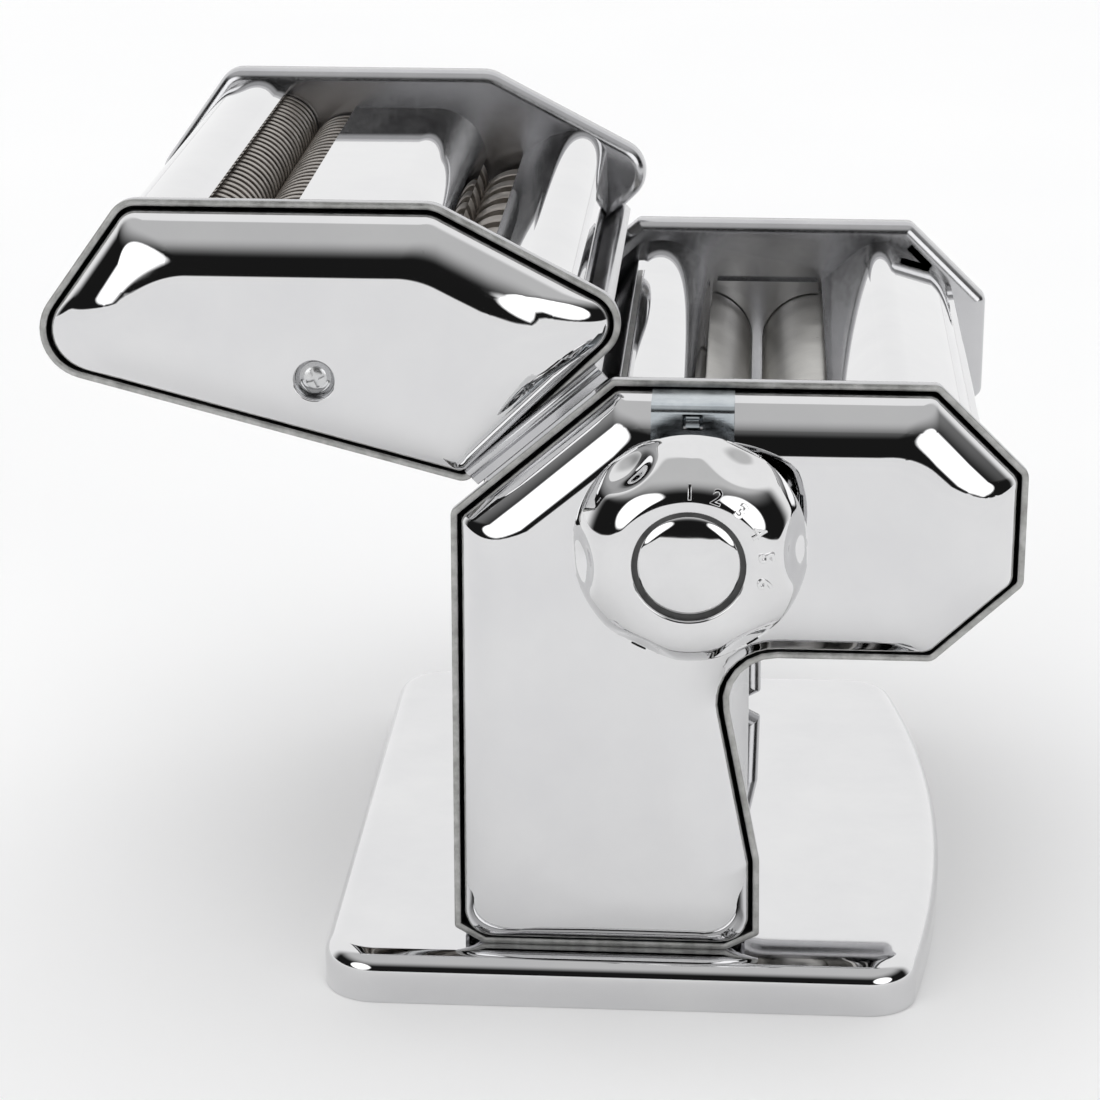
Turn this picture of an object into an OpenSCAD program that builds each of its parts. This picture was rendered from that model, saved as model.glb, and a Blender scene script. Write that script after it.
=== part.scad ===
// Hand-cranked pasta roller with a clip-on noodle cutter.
// X runs from the cutter side to the feed side, Y from the knob side to the drive side, Z is up.
// The origin is the centre of the base plate, on the table.

/* [Base plate] */
// Length of the base plate across the rollers
base_len = 147; // [140:1:155]
// Depth of the base plate along the rollers
base_depth = 188; // [186:1:200]
// Height of the top of the base plate
base_h = 12; // [11:0.5:13]
// How far the feed side of the base plate bulges
base_bulge = 10.5; // [5:0.5:15]
// Sheet thickness of the base plate
base_t = 1.2; // [1:0.1:1.4]
// Distance from the base's corners to the feet
foot_inset = 18; // [16:1:24]
// Radius of a rubber foot
foot_r = 7; // [5:0.5:8]

/* [Side frames] */
// Clear distance between the two side frames
inner_w = 148; // [146:1:150]
// Height of the flat top of the side frames
head_top = 149; // [148:0.5:152]
// Height of the underside of the overhanging head
head_low = 84.6; // [82:0.2:86]
// Sheet thickness of the side frames
frame_t = 1.5; // [1.2:0.1:1.8]
// Depth of the folded flange round each side frame
flange = 5; // [4:0.5:6]
// Gap between a frame's flange and the cover inside it
cover_gap = 1.5; // [1:0.1:2]
// Sheet thickness of the covers and guards
skin = 0.8; // [0.6:0.1:1]
// How far the knob-side covers stand proud of the flange
near_proud = 9; // [8:0.5:10]
// How far the drive-side covers stand proud of the flange
far_proud = 15.5; // [15:0.5:16]

/* [Rollers] */
// Radius of the two dough rollers
roller_r = 13.75; // [13.5:0.05:13.9]
// Gap between the rollers at setting 1
gap_open = 2.5; // [2.2:0.1:2.6]
// Throw of the eccentric shaft
throw = 1.5; // [1.4:0.05:1.55]
// Place of the fixed roller along X
fixed_x = 40.2; // [40:0.1:41]
// Height of the fixed roller
fixed_z = 116.6; // [116:0.1:118]

/* [Knob] */
// Radius of the setting knob
knob_r = 25.5; // [24:0.5:26]
// Distance from the frame's edge to the knob's rim
knob_gap = 20.5; // [19:0.5:21]
// Radius of the index pin's circle
pin_circle = 16; // [15:0.5:17]

/* [Crank] */
// Distance from the roller's axis to the grip's axis
crank_throw = 92; // [80:1:92]
// Angle at which the crank is left standing, in degrees from straight down
crank_rest = 50; // [0:5:90]
// Radius of the crank rod
rod_r = 4; // [3.8:0.1:4]
// Length of the crank's grip
grip_len = 52; // [45:1:60]

/* [Cutter] */
// Tilt of the cutter's row of rollers, in degrees
cutter_tilt = 14.7; // [14:0.1:15]
// Radius of the cutting rollers
cut_r = 9.7; // [9.6:0.05:9.75]
// Distance between the two axes of a cutting pair
cut_dist = 18.6; // [18.5:0.1:18.7]
// Width of a fine noodle
fine_w = 2.05; // [2:0.05:2.5]
// Width of a wide noodle
wide_w = 6.5; // [6:0.5:7]

/* [Hidden] */
$fn = 48;
eps = 0.01;
// Radial clearance of a running fit
run = 0.05;

// Planes along Y: inner face, outer face of the web and edge of the flange, on both sides
near_in = -(inner_w / 2 + 6.5);
near_web = near_in - frame_t;
near_edge = near_in - flange;
far_in = near_in + inner_w;
far_web = far_in + frame_t;
far_edge = far_in + flange;
near_face = near_edge - near_proud;
far_face = far_edge + far_proud;

// Outlines as [x, z, corner radius], counter-clockwise as seen from the knob side
frame_outline = [
    [-35.7, base_h, 1], [20.6, base_h, 1], [28.2, base_h + 4, 1], [27.9, 34.7, 6], [17.9, head_low, 10.7],
    [65.6, head_low, 3], [85.1, 103.1, 3], [85.1, 129.3, 3], [64.9, head_top, 3],
    [-6.5, head_top, 2], [-42.5, 117.8, 2], [-42.5, base_h + 4, 1]
];
cutter_outline = [
    [-140.4, 151.3, 11], [-38.9, 124.6, 3.5], [1, 163.5, 8.5], [-45.4, 187.8, 9], [-114.1, 187.8, 7]
];

// Start, direction and outward normal of the chamfer that carries the cutter
chamfer_a = [-42.5, 117.8];
chamfer_b = [-6.5, head_top];
chamfer_u = (chamfer_b - chamfer_a) / norm(chamfer_b - chamfer_a);
chamfer_n = [-chamfer_u.y, chamfer_u.x];

// Roller and shaft axes as [x, z]
fixed_axis = [fixed_x, fixed_z];
adjust_axis = [fixed_x - 2 * roller_r - gap_open, fixed_z];
rest_angle = 220;
shaft_axis = adjust_axis - throw * [cos(rest_angle), sin(rest_angle)];
row_u = [cos(cutter_tilt), -sin(cutter_tilt)];
fine_mid = [-91.5, 169.3];
wide_mid = [-46.4, 157.6];
fine_driven = fine_mid - row_u * cut_dist / 2;
fine_follower = fine_mid + row_u * cut_dist / 2;
wide_driven = wide_mid - row_u * cut_dist / 2;
wide_follower = wide_mid + row_u * cut_dist / 2;

frame_rods = [[68, 104], [-24, 106], [-25, 50], [8, 30]];
cutter_rods = [[-121, 161], [-21.5, 160], [-64, 143.5]];
shaft_r = 5;
eccentric_r = shaft_r + throw;
roller_bore_r = 8;
journal_r = 6;
gear_y = [70.5, 77.5];
roller_y = [near_in + 0.8, far_in - 0.8];
crank_y = 97;
bend_r = 7;
grip_z = fixed_z - crank_throw;
knob_y = near_edge - knob_gap;
cut_shaft_r = 5.5;
cut_groove = 2;
cutter_far_face = far_edge + 11.5;

// ---- geometry helpers ----
function unit(v) = v / norm(v);
function cross_z(a, b) = a.x * b.y - a.y * b.x;
function at(list, i) = list[(i + len(list)) % len(list)];
function xz(p) = [p.x, p.y];
function inward(a, b) = let (e = unit(xz(b) - xz(a))) [-e.y, e.x];

// Outline moved inwards by d, with its corner radii kept concentric
function inset(pts, d) = [
    for (i = [0:len(pts) - 1])
        let (
            n1 = inward(at(pts, i - 1), pts[i]),
            n2 = inward(pts[i], at(pts, i + 1)),
            p = xz(pts[i]) + d * (n1 + n2) / (1 + n1 * n2),
            convex = cross_z(n1, n2) > 0,
            r = max(0, pts[i][2] + (convex ? -d : d))
        ) [p.x, p.y, r]
];

// Points of one rounded corner
function corner(a, p, b, steps) =
    let (
        ua = unit(xz(a) - xz(p)),
        ub = unit(xz(b) - xz(p)),
        half = acos(ua * ub) / 2,
        c = xz(p) + unit(ua + ub) * p[2] / sin(half),
        s = xz(p) + ua * p[2] / tan(half) - c,
        e = xz(p) + ub * p[2] / tan(half) - c,
        from = atan2(s.y, s.x),
        sweep = (180 - 2 * half) * sign(cross_z(s, e))
    ) [for (k = [0:steps]) c + p[2] * [cos(from + sweep * k / steps), sin(from + sweep * k / steps)]];

function rounded(pts, steps = 6) = [
    for (i = [0:len(pts) - 1])
        for (q = pts[i][2] > 0.05
            ? corner(at(pts, i - 1), pts[i], at(pts, i + 1), steps)
            : [xz(pts[i])]) q
];

function arc(c, r, from, to, steps = 8) = [
    for (k = [0:steps]) let (a = from + (to - from) * k / steps) c + r * [cos(a), sin(a)]
];

// A sheet of thickness t on the right-hand side of an open line
function side_at(line, i, t) =
    let (
        n = len(line),
        d1 = i > 0 ? unit(line[i] - line[i - 1]) : unit(line[1] - line[0]),
        d2 = i < n - 1 ? unit(line[i + 1] - line[i]) : d1,
        n1 = [d1.y, -d1.x],
        n2 = [d2.y, -d2.x]
    ) line[i] + t * (n1 + n2) / (1 + n1 * n2);
function sheet(line, t) = concat(line, [for (i = [len(line) - 1:-1:0]) side_at(line, i, t)]);

// A point at distance along the cutter's chamfer and height above it
function on_chamfer(along, above) = chamfer_a + along * chamfer_u + above * chamfer_n;

// Extrudes an X-Z outline from y0 to y1
module along_y(y0, y1) {
    translate([0, y1, 0])
        rotate([90, 0, 0])
            linear_extrude(y1 - y0)
                children();
}

module rod(axis, r, y0, y1, fn = 48) {
    along_y(y0, y1)
        translate(axis)
            circle(r, $fn = fn);
}

module tube(axis, outer, inner, y0, y1) {
    along_y(y0, y1)
        translate(axis)
            difference() {
                circle(outer);
                circle(inner);
            }
}

// A solid with a stepped round edge, standing on the X-Y plane
module dome(outline, depth, edge, steps = 3) {
    linear_extrude(depth - edge)
        polygon(rounded(outline));
    for (k = [1:steps]) {
        a = 90 * k / steps;
        b = 90 * (k - 1) / steps;
        translate([0, 0, depth - edge + edge * sin(b)])
            linear_extrude(edge * (sin(a) - sin(b)))
                polygon(rounded(inset(outline, edge * (1 - cos((a + b) / 2)))));
    }
}

module dome_shell(outline, depth, edge) {
    difference() {
        dome(outline, depth, edge);
        translate([0, 0, -eps])
            dome(inset(outline, skin), depth - skin + eps, edge - skin);
    }
}

// Stands its children on the X-Z plane at y, facing the knob side or the drive side
module facing_near(y) {
    translate([0, y, 0])
        rotate([90, 0, 0])
            children();
}

module facing_far(y) {
    translate([0, y, 0])
        mirror([0, 1, 0])
            rotate([90, 0, 0])
                children();
}

// A flat web with a flange folded outwards all round
module tray(outline) {
    linear_extrude(frame_t)
        polygon(rounded(outline));
    linear_extrude(flange)
        difference() {
            polygon(rounded(outline));
            polygon(rounded(inset(outline, frame_t)));
        }
}

module toothed(axis, teeth, root_r, tip_r, root_w, tip_w, bore_r, phase) {
    along_y(gear_y[0], gear_y[1])
        translate(axis)
            difference() {
                union() {
                    circle(root_r);
                    for (k = [0:teeth - 1])
                        rotate(phase + 360 * k / teeth)
                            polygon([
                                [root_r - 1, -root_w / 2], [tip_r, -tip_w / 2],
                                [tip_r, tip_w / 2], [root_r - 1, root_w / 2]
                            ]);
                }
                circle(bore_r);
            }
}

// ---- base ----
base_centre_x = base_len / 2 - (pow(base_depth / 2, 2) + pow(base_bulge, 2)) / (2 * base_bulge);
base_arc_r = base_len / 2 - base_centre_x;
base_swing = asin(base_depth / 2 / base_arc_r);
base_outline = concat(
    [[-base_len / 2, base_depth / 2, 13], [-base_len / 2, -base_depth / 2, 13]],
    [for (k = [-4:4])
        let (a = base_swing * k / 4)
            [base_centre_x + base_arc_r * cos(a), base_arc_r * sin(a), abs(k) == 4 ? 12 : 0]]
);
foot_spots = [
    for (sx = [-1, 1])
        for (sy = [-1, 1])
            [sx > 0 ? base_len / 2 - base_bulge - foot_inset : foot_inset - base_len / 2,
                sy * (base_depth / 2 - foot_inset)]
];
tab_near = [near_in, near_in + 14];
tab_far = [far_in - 14, far_in];
screw_spots = [
    for (x = [-24, 8])
        for (tab = [tab_near, tab_far]) [x, (tab[0] + tab[1]) / 2]
];
edge_round = 5;

module base_plate() {
    color("silver")
        difference() {
            union() {
                linear_extrude(base_h - edge_round)
                    polygon(rounded(base_outline));
                for (k = [1:3]) {
                    z0 = base_h - edge_round + edge_round * sin(30 * (k - 1));
                    translate([0, 0, z0])
                        linear_extrude(base_h - edge_round + edge_round * sin(30 * k) - z0)
                            polygon(rounded(inset(base_outline, edge_round * (1 - cos(30 * k - 15)))));
                }
            }
            translate([0, 0, -eps])
                linear_extrude(base_h - edge_round + eps)
                    polygon(rounded(inset(base_outline, base_t)));
            translate([0, 0, -eps])
                linear_extrude(base_h - base_t + eps)
                    polygon(rounded(inset(base_outline, edge_round + 0.5)));
            for (p = screw_spots)
                translate([p.x, p.y, 0])
                    cylinder(r = 2.1, h = base_h + 1);
        }
}

module rubber_feet() {
    color("dimgray")
        for (p = foot_spots)
            translate([p.x, p.y, 0])
                cylinder(r = foot_r, h = base_h - base_t);
}

module base_screws() {
    color("gray")
        for (p = screw_spots)
            translate([p.x, p.y, 0]) {
                translate([0, 0, base_h - base_t - 2.5])
                    cylinder(r = 3.5, h = 2.5);
                translate([0, 0, base_h - base_t - eps])
                    cylinder(r = 2, h = base_t + frame_t + 4.5);
            }
}

module base_nuts() {
    color("gray")
        for (p = screw_spots)
            translate([p.x, p.y, base_h + frame_t])
                difference() {
                    cylinder(r = 4, h = 3.2, $fn = 6);
                    translate([0, 0, -1])
                        cylinder(r = 2 + run, h = 6);
                }
}

// ---- side frames ----
// Attachment slots beside the feed-side chamfer, as distances along it and below it
slot_start = [64.9, head_top];
slot_u = unit([85.1, 129.3] - slot_start);
module attachment_slot() {
    translate(slot_start)
        rotate(atan2(slot_u.y, slot_u.x))
            translate([4, -5.6])
                square([8, 1.8]);
}

module frame_holes(shaft_hole) {
    for (p = frame_rods)
        translate(p)
            circle(2.6);
    translate(fixed_axis)
        circle(7.5);
    translate(shaft_axis)
        circle(shaft_hole);
    attachment_slot();
}

module foot_tab(tab) {
    difference() {
        translate([-32, tab[0], base_h])
            cube([48, tab[1] - tab[0], frame_t]);
        for (p = screw_spots)
            translate([p.x, p.y, base_h - 1])
                cylinder(r = 2.1, h = 5);
    }
}

module knob_side_frame() {
    color("silver") {
        difference() {
            facing_near(near_in)
                tray(frame_outline);
            along_y(near_web - eps, near_in + eps)
                frame_holes(8);
        }
        foot_tab(tab_near);
    }
}

module drive_side_frame() {
    color("silver") {
        difference() {
            facing_far(far_in)
                tray(frame_outline);
            along_y(far_in - eps, far_web + eps)
                frame_holes(11.5);
        }
        foot_tab(tab_far);
    }
}

cover_outline = inset(frame_outline, frame_t + cover_gap);
module knob_side_cover() {
    color("gainsboro")
        difference() {
            facing_near(near_web)
                dome_shell(cover_outline, near_web - near_face, 8);
            rod(shaft_axis, 9, near_face - 1, near_web);
        }
}

module drive_side_cover() {
    color("gainsboro")
        difference() {
            facing_far(far_web)
                dome_shell(cover_outline, far_face - far_web, 8);
            rod(fixed_axis, 8, far_web, far_face + 1);
        }
}

// ---- what joins the side frames ----
module tie_rods() {
    color("gray")
        for (p = frame_rods) {
            rod(p, 4, near_in, far_in);
            rod(p, 2.5, near_web - 4, far_web + 4);
        }
}

module hex_nut(p, y0, y1) {
    difference() {
        rod(p, 4.5, y0, y1, 6);
        rod(p, 2.5 + run, y0 - 1, y1 + 1);
    }
}

module tie_rod_nuts() {
    color("gray")
        for (p = frame_rods) {
            hex_nut(p, near_web - 3, near_web);
            hex_nut(p, far_web, far_web + 3);
        }
}

// Distance of the guards inside the frame's outline
guard_in = 5;
guard_line = inset(frame_outline, guard_in);
module left_dough_guard() {
    line = concat(
        [[guard_line[10].x, 108], xz(guard_line[10])],
        [xz(guard_line[10]) + 38.5 * chamfer_u],
        arc([-0.5, 129.8], 13.9, 112, 25),
        [[13.2, 132.7]]
    );
    color("gainsboro")
        along_y(near_in, far_in)
            polygon(sheet(line, skin));
}

module right_dough_guard() {
    line = concat(
        [[41.7, 133.3], [52, 142.4]],
        arc([56.6, 137.5], 6.4, 120, 50, 5),
        [xz(guard_line[7]), [guard_line[7].x, 104]]
    );
    color("gainsboro")
        along_y(near_in, far_in)
            polygon(sheet(line, skin));
}

module end_cheeks() {
    color("silver")
        for (y = [near_in, far_in - 3])
            along_y(y, y + 3)
                difference() {
                    translate([14.4, 118])
                        square([26.4, 15.7]);
                    translate(fixed_axis)
                        circle(roller_r + 0.35);
                    translate(shaft_axis)
                        circle(roller_r + throw + 0.35);
                }
}

module scraper(axis, from, angle) {
    along_y(near_in, far_in)
        translate(axis)
            rotate(angle)
                translate([from, -0.5])
                    square([12, 1]);
}

module scrapers() {
    color("silver") {
        scraper(fixed_axis, roller_r + 0.5, -60);
        scraper(shaft_axis, roller_r + throw + 0.5, -115);
    }
}

module dough_slide() {
    line = concat(
        [[11, 97], [13.5, 90]],
        arc([37, 72], 22, 145, 192, 5),
        [[24, 36], [24.2, base_h + 0.6]]
    );
    color("silver")
        along_y(near_in, far_in)
            polygon(sheet([for (i = [len(line) - 1:-1:0]) line[i]], skin));
}

module back_panel() {
    color("silver")
        along_y(near_in, far_in)
            translate([-40.4, base_h + 0.6])
                square([skin, 104 - base_h]);
}

// C-shaped track along the chamfer, and the tongue of the cutter that slides in it
track_start = 11;
track_end = 43;
track_t = 0.7;
track_h = 2.6;
track_lip = 7.5;
module cutter_track() {
    color("silver")
        along_y(near_edge, far_edge)
            polygon([
                on_chamfer(track_start, 0), on_chamfer(track_end, 0), on_chamfer(track_end, track_h),
                on_chamfer(track_end - track_lip, track_h),
                on_chamfer(track_end - track_lip, track_h - track_t),
                on_chamfer(track_end - track_t, track_h - track_t), on_chamfer(track_end - track_t, track_t),
                on_chamfer(track_start + track_t, track_t),
                on_chamfer(track_start + track_t, track_h - track_t),
                on_chamfer(track_start + track_lip, track_h - track_t),
                on_chamfer(track_start + track_lip, track_h), on_chamfer(track_start, track_h)
            ]);
}

rail_top = 5.5;
rail_start = 9;
rail_end = 47;
module cutter_rail() {
    slot = 0.3;
    color("gainsboro")
        along_y(near_edge, far_edge)
            polygon([
                on_chamfer(track_start + track_t + slot, track_t + slot),
                on_chamfer(track_end - track_t - slot, track_t + slot),
                on_chamfer(track_end - track_t - slot, track_h - track_t - slot),
                on_chamfer(track_end - track_lip - slot, track_h - track_t - slot),
                on_chamfer(track_end - track_lip - slot, track_h + slot),
                on_chamfer(rail_end, track_h + slot), on_chamfer(rail_end, rail_top),
                on_chamfer(rail_start, rail_top), on_chamfer(rail_start, track_h + slot),
                on_chamfer(track_start + track_lip + slot, track_h + slot),
                on_chamfer(track_start + track_lip + slot, track_h - track_t - slot),
                on_chamfer(track_start + track_t + slot, track_h - track_t - slot)
            ]);
}

// ---- index plate ----
plate_back = near_face - 2.5;
plate_t = 1.2;
tab_w = 18;
pin_from = 190;
gap_swing = 100;
module index_plate() {
    color("lightsteelblue") {
        difference() {
            along_y(plate_back - plate_t, plate_back)
                difference() {
                    union() {
                        translate(shaft_axis)
                            circle(21);
                        translate([shaft_axis.x - tab_w / 2, shaft_axis.y])
                            square([tab_w, 147.2 - shaft_axis.y]);
                    }
                    translate(shaft_axis)
                        circle(8);
                    translate([shaft_axis.x - 2.2, 141.6])
                        square([4.4, 3.9]);
                    translate(shaft_axis)
                        polygon(concat(
                            arc([0, 0], pin_circle - 1.7, pin_from - 7, pin_from + gap_swing + 7, 14),
                            arc([0, 0], pin_circle + 1.7, pin_from + gap_swing + 7, pin_from - 7, 14)
                        ));
                }
        }
        translate([shaft_axis.x - tab_w / 2, plate_back - eps, 146.1])
            cube([tab_w, near_web - plate_back, 1.1]);
    }
}

// ---- bearings ----
module bush(axis, outer, inner, y0, y1, f0, f1, flange_r) {
    tube(axis, outer, inner, y0, y1);
    tube(axis, flange_r, inner, f0, f1);
}

module fixed_roller_bushes() {
    color("goldenrod") {
        bush(fixed_axis, 7.45, journal_r + run, near_web - 1, near_in, near_web - 1, near_web, 10);
        bush(fixed_axis, 7.45, journal_r + run, far_in, far_web + 1, far_web, far_web + 1, 10);
    }
}

bracket_y = [79.2, 80.7];
module shaft_bushes() {
    color("goldenrod") {
        bush(shaft_axis, 7.95, shaft_r + run, near_web - 1, near_in, near_web - 1, near_web, 10);
        bush(shaft_axis, 6.95, shaft_r + run, bracket_y[0], bracket_y[1] + 1,
            bracket_y[1], bracket_y[1] + 1, 8);
    }
}

module gear_bracket() {
    color("silver")
        difference() {
            union() {
                translate([shaft_axis.x - 8, bracket_y[0], shaft_axis.y - 20.3])
                    cube([16, bracket_y[1] - bracket_y[0], 40.6]);
                for (s = [-1, 1]) {
                    translate([shaft_axis.x - 8, far_web, shaft_axis.y + s * 19.55 - 0.75])
                        cube([16, bracket_y[1] - far_web, 1.5]);
                    translate([shaft_axis.x - 8, far_web, shaft_axis.y + s * 22.5 - 3.2])
                        cube([16, 1.5, 6.4]);
                }
            }
            rod(shaft_axis, 7, bracket_y[0] - 1, bracket_y[1] + 1);
        }
}

// ---- fixed roller and crank ----
socket_depth = 14;
slot_w = 2.1;
slot_deep = 3.2;
module at_crank_angle() {
    translate([fixed_axis.x, 0, fixed_axis.y])
        rotate([0, crank_rest, 0])
            translate([-fixed_axis.x, 0, -fixed_axis.y])
                children();
}

module fixed_roller() {
    color("lightgray")
        difference() {
            union() {
                rod(fixed_axis, roller_r, roller_y[0], roller_y[1], 72);
                rod(fixed_axis, journal_r, near_web - 2, roller_y[0] + eps);
                rod(fixed_axis, journal_r, roller_y[1] - eps, far_face + 0.5);
            }
            rod(fixed_axis, rod_r + run, far_face + 0.5 - socket_depth, far_face + 1);
            at_crank_angle()
                translate([fixed_axis.x - slot_w / 2, far_face + 0.5 - slot_deep, fixed_axis.y - 8])
                    cube([slot_w, slot_deep + 1, 16]);
        }
}

main_teeth = 14;
module fixed_roller_gear() {
    color("darkgray")
        toothed(fixed_axis, main_teeth, 11.8, 15.6, 2.5, 1.3, journal_r + 0.02, 0);
}

module elbow() {
    rotate([90, 0, 90])
        rotate_extrude(angle = 90)
            translate([bend_r, 0])
                circle(rod_r);
}

module crank_arm() {
    rod_start = far_face + 0.5 - socket_depth + 1;
    pin_t = slot_w - 0.3;
    grip_axis = [fixed_axis.x, grip_z];
    color("silver")
        at_crank_angle() {
            rod(fixed_axis, rod_r, rod_start, crank_y - bend_r);
            translate([fixed_axis.x, crank_y - bend_r, fixed_axis.y - bend_r])
                elbow();
            translate([fixed_axis.x, crank_y, grip_z + bend_r])
                cylinder(r = rod_r, h = crank_throw - 2 * bend_r);
            translate([fixed_axis.x, crank_y + bend_r, grip_z + bend_r])
                mirror([0, 1, 0])
                    mirror([0, 0, 1])
                        elbow();
            rod(grip_axis, rod_r, crank_y + bend_r, crank_y + bend_r + 2);
            rod(grip_axis, 3, crank_y + bend_r + 1, crank_y + bend_r + 2.5 + grip_len);
            rod(grip_axis, 5, crank_y + bend_r + 2.3 + grip_len - 2.5, crank_y + bend_r + 2.5 + grip_len);
            translate([fixed_axis.x - pin_t / 2, far_face - 1.8, fixed_axis.y - journal_r + 0.4])
                cube([pin_t, pin_t, 2 * journal_r - 0.8]);
        }
}

module crank_grip() {
    grip_y = crank_y + bend_r + 2.3;
    color("dimgray")
        at_crank_angle()
            translate([fixed_axis.x, grip_y, grip_z])
                rotate([-90, 0, 0])
                    rotate_extrude()
                        polygon([
                            [3 + run, 0], [6.2, 0], [7.4, 1.2], [7.2, 14], [8, 26], [9, 38], [9, 44],
                            [8.2, grip_len - 4], [6.4, grip_len - 0.6], [5.3, grip_len - 0.6],
                            [5.3, grip_len - 2.8], [3 + run, grip_len - 2.8]
                        ]);
}

// ---- eccentric shaft and adjustable roller ----
knob_shaft_r = 4;
module eccentric_shaft() {
    color("darkgray") {
        rod(adjust_axis, eccentric_r, roller_y[0], bracket_y[0] - 0.3);
        rod(shaft_axis, shaft_r, knob_y - 0.5, roller_y[0] + eps);
        rod(shaft_axis, shaft_r, bracket_y[0] - 0.3 - eps, bracket_y[1] + 1);
        rod(shaft_axis, knob_shaft_r, knob_y - 9.6, knob_y - 0.5 + eps);
        rod(shaft_axis, 3, knob_y - 11.4, knob_y - 9.6 + eps);
    }
}

module knob_nut() {
    color("gray")
        tube(shaft_axis, 5.9, 3 + run, knob_y - 11.2, knob_y - 9.6);
}

module roller_bushes() {
    color("goldenrod") {
        tube(adjust_axis, roller_bore_r - run, eccentric_r + run, roller_y[0] + 0.2, roller_y[0] + 8);
        tube(adjust_axis, roller_bore_r - run, eccentric_r + run, gear_y[0], gear_y[1] + 1);
    }
}

module adjustable_roller() {
    color("lightgray") {
        tube(adjust_axis, roller_r, roller_bore_r, roller_y[0], roller_y[1]);
        tube(adjust_axis, 9.5, roller_bore_r, roller_y[1] - eps, gear_y[1] + 1);
    }
}

module adjustable_roller_gear() {
    color("darkgray")
        toothed(adjust_axis, main_teeth, 11.8, 15.6, 2.5, 1.3, 9.52, 180 / main_teeth);
}

// ---- knob ----
// Places a turned part on the shaft axis, its base on the knob's rim plane
module on_knob() {
    translate([shaft_axis.x, knob_y, shaft_axis.y])
        rotate([90, 0, 0])
            children();
}

module regulator_knob() {
    color("gainsboro")
        on_knob()
            rotate_extrude($fn = 96)
                polygon([
                    [knob_shaft_r + run, 0.6], [8.2, 0.6], [8.2, 11], [13.5, 11], [17.2, 10.2],
                    [20.6, 7.6], [22.9, 4.6], [23.5, 2.4], [23.5, 0], [knob_r, 0], [knob_r, 2.5],
                    [24.6, 5.5], [22, 9], [18, 12], [14.5, 13.4], [13.3, 13.4], [12.9, 12.6],
                    [6.3, 12.6], [6.3, 3.4], [knob_shaft_r + run, 3.4]
                ]);
}

module knob_cap() {
    color("whitesmoke")
        on_knob()
            translate([0, 0, 12.6])
                cylinder(r = 12.6, h = 1.4, $fn = 96);
}

module index_pin() {
    pin_end = knob_y - plate_back + 0.3;
    color("gray")
        on_knob()
            rotate(pin_from)
                translate([pin_circle, 0, pin_end])
                    cylinder(r = 1.4, h = 10 - pin_end);
}

module knob_spring() {
    coils = 4;
    color("gray")
        on_knob()
            for (k = [0:coils - 1])
                translate([0, 0, 3.95 + k * 1.7])
                    rotate_extrude()
                        translate([5.4, 0])
                            circle(0.45, $fn = 16);
}

// ---- cutter ----
module rail_notch() {
    polygon([
        on_chamfer(rail_start - 0.05, -5), on_chamfer(rail_end + 0.05, -5),
        on_chamfer(rail_end + 0.05, rail_top + 0.05), on_chamfer(rail_start - 0.05, rail_top + 0.05)
    ]);
}

cutting_axes = [fine_driven, fine_follower, wide_driven, wide_follower];
module cutter_holes() {
    for (p = cutting_axes)
        translate(p)
            circle(7);
    for (p = cutter_rods)
        translate(p)
            circle(2.6);
}

module cutter_near_frame() {
    color("silver")
        difference() {
            facing_near(near_in)
                tray(cutter_outline);
            along_y(near_web - eps, near_in + eps)
                cutter_holes();
            along_y(near_edge - eps, near_in + eps)
                rail_notch();
        }
}

module cutter_far_frame() {
    color("silver")
        difference() {
            facing_far(far_in)
                tray(cutter_outline);
            along_y(far_in - eps, far_web + eps)
                cutter_holes();
            along_y(far_in - eps, far_edge + eps)
                rail_notch();
        }
}

cutter_cover_outline = inset(cutter_outline, frame_t + cover_gap);
screw_axis = [-71.2, 150.1];
// Dished seat of the cover screw, from its floor to the cover's face
cup_r = 4.6;
cup_deep = 3.4;
module screw_seat(floor_y, face_y) {
    y = [min(floor_y, face_y), max(floor_y, face_y)];
    rod(screw_axis, cup_r + skin, y[0], y[1]);
}

module screw_cut(floor_y, face_y, back_y) {
    y = [min(floor_y, face_y), max(floor_y, face_y)];
    rod(screw_axis, cup_r, y[0], y[1]);
    rod(screw_axis, 2.2, min(back_y, floor_y), max(back_y, floor_y) + eps);
}

screw_head = 1.7;
near_seat = near_face + cup_deep;
far_seat = cutter_far_face - cup_deep;
module cutter_near_cover() {
    color("gainsboro")
        difference() {
            union() {
                facing_near(near_web)
                    dome_shell(cutter_cover_outline, near_web - near_face, 8);
                screw_seat(near_seat + skin, near_face);
            }
            screw_cut(near_seat, near_face - 1, near_web);
            along_y(near_face - 1, near_web + eps)
                rail_notch();
        }
}

module cutter_far_cover() {
    color("gainsboro")
        difference() {
            union() {
                facing_far(far_web)
                    dome_shell(cutter_cover_outline, cutter_far_face - far_web, 8);
                screw_seat(far_seat - skin, cutter_far_face);
            }
            for (p = [fine_driven, wide_driven])
                rod(p, 7, far_web, cutter_far_face + 1);
            screw_cut(far_seat, cutter_far_face + 1, far_web);
            along_y(far_web - eps, cutter_far_face + 1)
                rail_notch();
        }
}

module cutter_cover_screws() {
    color("gray") {
        rod(screw_axis, 3.5, near_seat - screw_head, near_seat);
        rod(screw_axis, 2, near_seat - eps, near_web);
        rod(screw_axis, 3.5, far_seat, far_seat + screw_head);
        rod(screw_axis, 2, far_web, far_seat + eps);
    }
}

module cutter_left_guard() {
    line = concat(
        [[-130.6, 160], [-118, 178.2]],
        arc([-106.5, 172.2], 12.8, 142, 62, 6),
        [[-98.2, 183.3]]
    );
    color("gainsboro")
        along_y(near_in, far_in)
            polygon(sheet(line, skin));
}

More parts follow.
